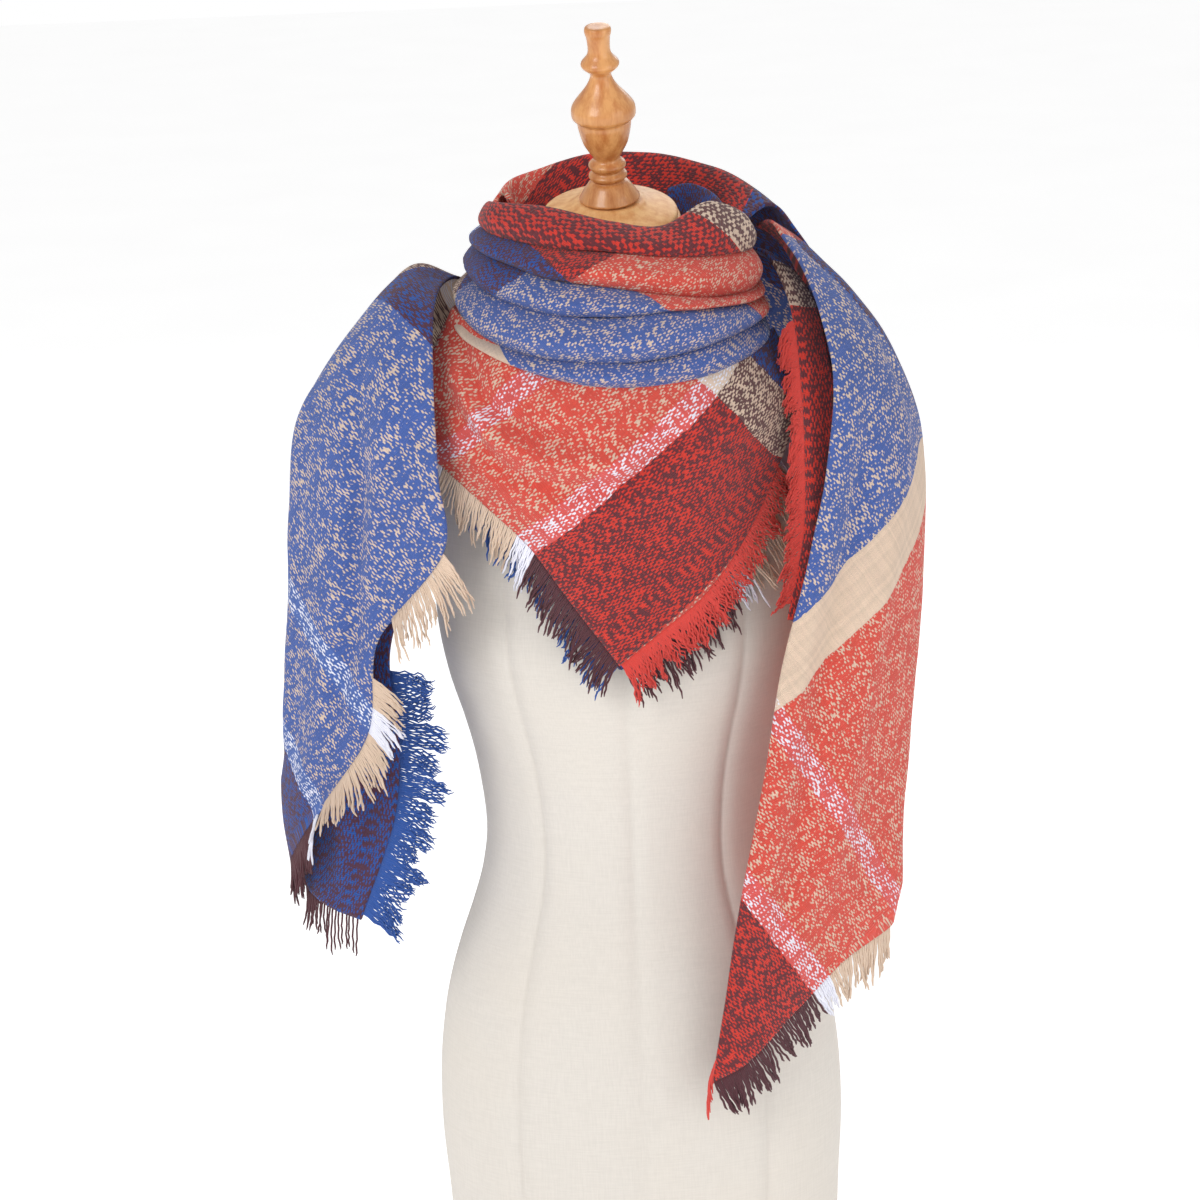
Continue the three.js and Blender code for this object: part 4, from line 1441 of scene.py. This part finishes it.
@dataclass
class LeftTail:
    """The left end: a doubled stretch over the shoulder whose under layer hangs lower."""

    rows: tuple[Row, ...] = (
        [(-10, 138, 742), (-12, 135, 772), (-14, 131, 802), (-15, 125, 832), (-15, 117, 856)],
        [(-84, 126, 734), (-85, 121, 764), (-84, 112, 794), (-79, 102, 824), (-72, 92, 850)],
        [(-162, 110, 728), (-160, 98, 766), (-150, 84, 806), (-132, 66, 833), (-106, 44, 840)],
        [(-234, 48, 732), (-222, 36, 778), (-194, 20, 820), (-158, 4, 860), (-128, -6, 850)],
        [(-256, 22, 712), (-253, -24, 746), (-222, -52, 792), (-177, -72, 836), (-138, -84, 842)],
        [(-262, 20, 656), (-266, -32, 672), (-232, -82, 720), (-182, -114, 766), (-140, -124, 786)],
        [(-268, 16, 588), (-273, -33, 592), (-240, -88, 640), (-190, -118, 688), (-139, -136, 720)],
        [(-272, 10, 520), (-280, -32, 528), (-246, -88, 578), (-196, -119, 620), (-138, -135, 660)],
        [(-276, 8, 462), (-286, -30, 468), (-254, -84, 512), (-222, -108, 552), (-194, -122, 588)],
        [(-279, 6, 412), (-289, -28, 418), (-270, -68, 448), (-244, -92, 480), (-206, -114, 510)],
        [(-278, 2, 366), (-286, -22, 368), (-278, -46, 388), (-268, -66, 408), (-252, -88, 438)],
    )
    under_rows: tuple[Row, ...] = (
        [(-262, 4, 610), (-262, -20, 610), (-226, -72, 622), (-192, -90, 632), (-164, -98, 640)],
        [(-266, 2, 545), (-268, -20, 545), (-234, -68, 556), (-208, -82, 560), (-188, -90, 566)],
        [(-270, 0, 480), (-274, -18, 480), (-248, -62, 488), (-214, -80, 494), (-184, -88, 500)],
        [(-273, -2, 420), (-278, -16, 418), (-258, -54, 420), (-226, -74, 426), (-190, -84, 434)],
        [(-274, -4, 378), (-278, -16, 374), (-264, -44, 372), (-240, -62, 374), (-206, -78, 384)],
        [(-272, -12, 352), (-275, -24, 348), (-266, -42, 344), (-250, -58, 338), (-226, -70, 332)],
    )
    corner: float = 0.7
    bend: float = 0.8

    def build(self, finishes: Finishes) -> None:
        """Makes both layers and their fringes.

        Args:
            finishes: the materials.
        """
        folds = (
            Fold(((0.67, 0.40), (0.67, 0.55), (0.68, 0.73), (0.7, 0.86)), -8, 11),
            Fold(((0.85, 0.34), (0.8, 0.5), (0.72, 0.7)), 5, 12),
            Fold(((0.2, 0.4), (0.22, 0.6), (0.25, 0.85)), -6, 14),
            Fold(((0.36, 0.38), (0.36, 0.6), (0.34, 0.85)), 5, 13),
            Fold(((0.3, 0.05), (0.45, 0.2), (0.7, 0.34)), -4, 12),
        )
        lie = Lie((1.0, 0.9), (208, 1384), (0.728, 0.685), (0.89, -0.95), (0, 1399))
        upper = Stretch(
            "tail_left", list(self.rows), lie, (280, 735), 0.58, folds=folds, front_column=0.7, cell=4.5,
        )
        under_lie = Lie((1.0, 1.0), (4, 1396), (-0.97, 0.2), (-0.14, -1.35), cut=Edge.RIGHT, ease=1000)
        under = Stretch(
            "tail_left_under", list(self.under_rows), under_lie, (160, 320), 0.72, "hung", front_column=1.0,
            folds=(Fold(((0.8, 0.2), (0.75, 0.9)), 4, 9), Fold(((0.9, 0.3), (0.88, 0.8)), -3, 7)),
        )
        dress(upper, finishes, [
            Fringe("fringe_left_upper", upper, Edge.RIGHT, self.corner, self.bend - 0.025, 40, 0.45,
                   spacing=1.5, radius=0.85, clump=0.2, splay=0.08, seed=6),
            Fringe("fringe_left_lower", upper, Edge.RIGHT, self.bend + 0.04, 0.99, 38, 0.4,
                   spacing=1.6, radius=0.85, clump=0.2, splay=0.08, seed=7),
            Fringe("fringe_left_low_end", upper, Edge.BOTTOM, 0.2, 0.96, 36, 0.5,
                   spacing=1.9, radius=1.0, clump=0.3, seed=8),
        ])
        dress(under, finishes, [
            Fringe("fringe_left_side", under, Edge.RIGHT, 0.24, 0.98, 38, 0.1, weft=True, spacing=0.8,
                   radius=0.7, tuft=24, crimp=1.3, splay=0.1, clump=0.14, seed=9),
            Fringe("fringe_left_end", under, Edge.BOTTOM, 0.05, 0.98, 40, 0.5,
                   spacing=2.7, radius=0.85, clump=0.2, splay=0.08, seed=10),
        ])


@dataclass
class RightTail:
    """The right end, down to its low tip, and the layer that shows under its inner edge."""

    rows: tuple[Row, ...] = (
        [(120, 54, 874), (134, 60, 864), (148, 66, 844),
         (168, 74, 798), (185, 80, 750), (195, 82, 700)],
        [(128, 22, 882), (148, 24, 868), (166, 28, 848),
         (190, 36, 806), (208, 46, 756), (216, 54, 702)],
        [(133, -20, 882), (158, -24, 862), (184, -20, 838), (214, -4, 794), (234, 18, 740), (236, 32, 684)],
        [(150, -76, 856), (178, -72, 836), (206, -58, 806),
         (228, -36, 766), (244, -8, 716), (240, 20, 664)],
        [(160, -120, 824), (184, -112, 800), (212, -92, 768),
         (232, -62, 730), (246, -26, 684), (240, 12, 636)],
        [(165, -142, 784), (188, -130, 754), (214, -108, 718),
         (234, -76, 680), (245, -34, 640), (238, 6, 600)],
        [(156, -149, 714), (180, -136, 684), (208, -112, 654),
         (230, -80, 622), (243, -38, 588), (236, 2, 556)],
        [(141, -149, 644), (166, -138, 618), (194, -114, 592),
         (222, -82, 566), (240, -42, 538), (234, -4, 512)],
        [(120, -144, 560), (150, -136, 538), (182, -112, 514),
         (212, -82, 492), (234, -46, 470), (230, -10, 452)],
        [(104, -139, 466), (136, -132, 450), (166, -112, 434),
         (200, -82, 418), (228, -48, 402), (224, -16, 392)],
        [(84, -134, 362), (118, -128, 354), (148, -110, 348),
         (184, -84, 346), (222, -52, 344), (218, -24, 342)],
        [(68, -131, 264), (102, -124, 272), (134, -108, 284),
         (174, -84, 300), (216, -52, 316), (214, -32, 322)],
        [(57, -130, 202), (90, -124, 218), (130, -106, 254),
         (170, -84, 284), (212, -52, 300), (212, -40, 306)],
    )
    under_rows: tuple[Row, ...] = (
        [(98, 20, 866), (112, 24, 862), (130, 24, 850)],
        [(122, -10, 862), (132, -14, 858), (146, -16, 846)],
        [(134, -52, 842), (144, -54, 838), (158, -50, 828)],
        [(139, -88, 816), (149, -90, 812), (164, -84, 802)],
        [(141, -112, 778), (150, -116, 774), (168, -108, 766)],
        [(142, -124, 724), (150, -128, 720), (166, -120, 712)],
        [(140, -128, 664), (147, -130, 660), (160, -122, 654)],
        [(126, -130, 594), (134, -129, 592), (146, -122, 588)],
    )

    def build(self, finishes: Finishes) -> None:
        """Makes both layers and their fringes.

        Args:
            finishes: the materials.
        """
        folds = (
            Fold(((0.24, 0.34), (0.22, 0.5), (0.21, 0.65), (0.22, 0.8), (0.24, 0.93)), -7, 13),
            Fold(((0.08, 0.4), (0.08, 0.6), (0.08, 0.85)), 4, 10),
            Fold(((0.45, 0.3), (0.42, 0.55), (0.42, 0.85)), 6, 14),
            Fold(((0.85, 0.35), (0.84, 0.6), (0.86, 0.85)), -6, 13),
            Fold(((0.1, 0.14), (0.3, 0.22), (0.55, 0.33)), -4, 12),
        )
        lie = Lie((0.0, 1.0), (0, 2), (0.794, 0.633), (-0.599, 0.921), (2, 1400), Edge.BOTTOM)
        upper = Stretch(
            "tail_right", list(self.rows), lie, (262, 836), 0.63, folds=folds, front_column=0.3, cell=4.5,
        )
        under_lie = Lie((0.0, 1.0), (0, 0), (1, 0.05), (-0.05, 1.25))
        under = Stretch(
            "tail_right_under", list(self.under_rows), under_lie, (37, 366), 0.71, "hung",
            front_column=0.0, cell=3,
        )
        dress(upper, finishes, [
            Fringe("fringe_right_end", upper, Edge.BOTTOM, 0.01, 0.8, 38, 0.3,
                   spacing=1.9, radius=1.05, clump=0.3, seed=11),
            Fringe("fringe_right_tip", upper, Edge.LEFT, 0.965, 0.998, 40, 0.85, weft=True, spacing=2.2,
                   radius=0.9, tuft=5, crimp=1.0, clump=0.5, seed=13, stands_for_node=False),
        ])
        dress(under, finishes, [
            Fringe("fringe_right_inner", under, Edge.LEFT, 0.4, 0.97, 22, 0.5, weft=True, spacing=0.6,
                   radius=0.65, tuft=12, crimp=1.3, clump=0.3, splay=0.3, seed=12, stands_for_node=False),
        ])


# ------------------------------------------------------------------ floor, light and camera


@dataclass(frozen=True)
class SoftLight:
    """A soft square light: its name, its place and size in metres, and its power in watts."""

    name: str
    place: tuple[float, float, float]
    size: float
    watts: float


@dataclass
class Studio:
    """A plain pale floor and backdrop, soft light and the camera, in metres."""

    eye: tuple[float, float, float] = (-0.019, -2.300, 1.263)
    pitch: float = math.radians(73.4)
    roll: float = math.radians(-2.27)
    lens: float = 87.69
    sensor: float = 36.0
    sky: float = 0.55
    lights: tuple[SoftLight, ...] = (
        SoftLight("key", (-1.6, -2.2, 2.3), 1.4, 38),
        SoftLight("fill", (2.0, -1.8, 1.4), 1.8, 14),
        SoftLight("rim", (0.6, 2.2, 2.2), 1.6, 18),
    )
    chest: tuple[float, float, float] = (0, 0, 0.6)
    floor_half: float = 12
    floor_glow: float = 0.5

    def add_camera(self) -> None:
        """Makes the camera and makes it the scene's."""
        data = bpy.data.cameras.new("camera")
        data.lens, data.sensor_width = self.lens, self.sensor
        camera = bpy.data.objects.new("camera", data)
        turn = Matrix.Rotation(self.pitch, 4, "X") @ Matrix.Rotation(self.roll, 4, "Z")
        camera.matrix_world = Matrix.Translation(self.eye) @ turn
        bpy.context.scene.collection.objects.link(camera)
        bpy.context.scene.camera = camera

    def add_light(self, soft: SoftLight) -> None:
        """Adds a soft square light that faces the chest.

        Args:
            soft: the light's values.
        """
        data = bpy.data.lights.new(soft.name, "AREA")
        data.size, data.energy = soft.size, soft.watts
        light = bpy.data.objects.new(soft.name, data)
        light.location = soft.place
        way = Vector(self.chest) - Vector(soft.place)
        light.rotation_euler = way.to_track_quat("-Z", "Y").to_euler()
        bpy.context.scene.collection.objects.link(light)

    def add_floor(self) -> None:
        """Adds the pale floor."""
        bm = bmesh.new()
        bmesh.ops.create_grid(bm, x_segments=1, y_segments=1, size=self.floor_half)
        mesh = finished_mesh(bm, "floor")
        material, sk, shader = Finish("pale floor", roughness=0.8).start()
        place = sk.add("ShaderNodeTexCoord").outputs["Object"]
        colour = sk.blend(sk.noise(place, 3.0, 2.0), linear(244, 244, 244), linear(248, 248, 248))
        sk.tree.links.new(colour, shader.inputs["Base Color"])
        sk.tree.links.new(colour, shader.inputs["Emission Color"])
        shader.inputs["Emission Strength"].default_value = self.floor_glow
        mesh.materials.append(material)
        floor = bpy.data.objects.new("floor", mesh)
        bpy.context.scene.collection.objects.link(floor)

    def add_sky(self) -> None:
        """Lights the world evenly in white."""
        world = bpy.data.worlds.new("studio white")
        bpy.context.scene.world = world
        world.use_nodes = True
        sk = Sketch(world.node_tree)
        seen = sk.add("ShaderNodeLightPath").outputs["Is Camera Ray"]
        strength = sk.math("ADD", sk.math("MULTIPLY", seen, 1 - self.sky), self.sky)
        back = sk.add("ShaderNodeBackground", {0: rgba((1.0, 1.0, 1.0)), 1: strength})
        sk.add("ShaderNodeOutputWorld", {0: back.outputs[0]})

    def build(self) -> None:
        """Sets up the camera, lights, floor and world."""
        self.add_camera()
        for soft in self.lights:
            self.add_light(soft)
        self.add_floor()
        self.add_sky()
        bpy.context.scene.view_settings.view_transform = "Standard"


def main() -> None:
    """Builds the dress form and the scarf in order, and the studio round them."""
    logging.basicConfig(level=logging.INFO, format="%(name)s: %(message)s")
    Studio().build()
    finishes = Finishes()
    DressForm().build(finishes)
    for stretch in [*NeckBack().stretches(), *Collar().stretches()]:
        dress(stretch, finishes, [])
    Bib().build(finishes)
    LeftTail().build(finishes)
    RightTail().build(finishes)


if __name__ == "__main__":
    main()
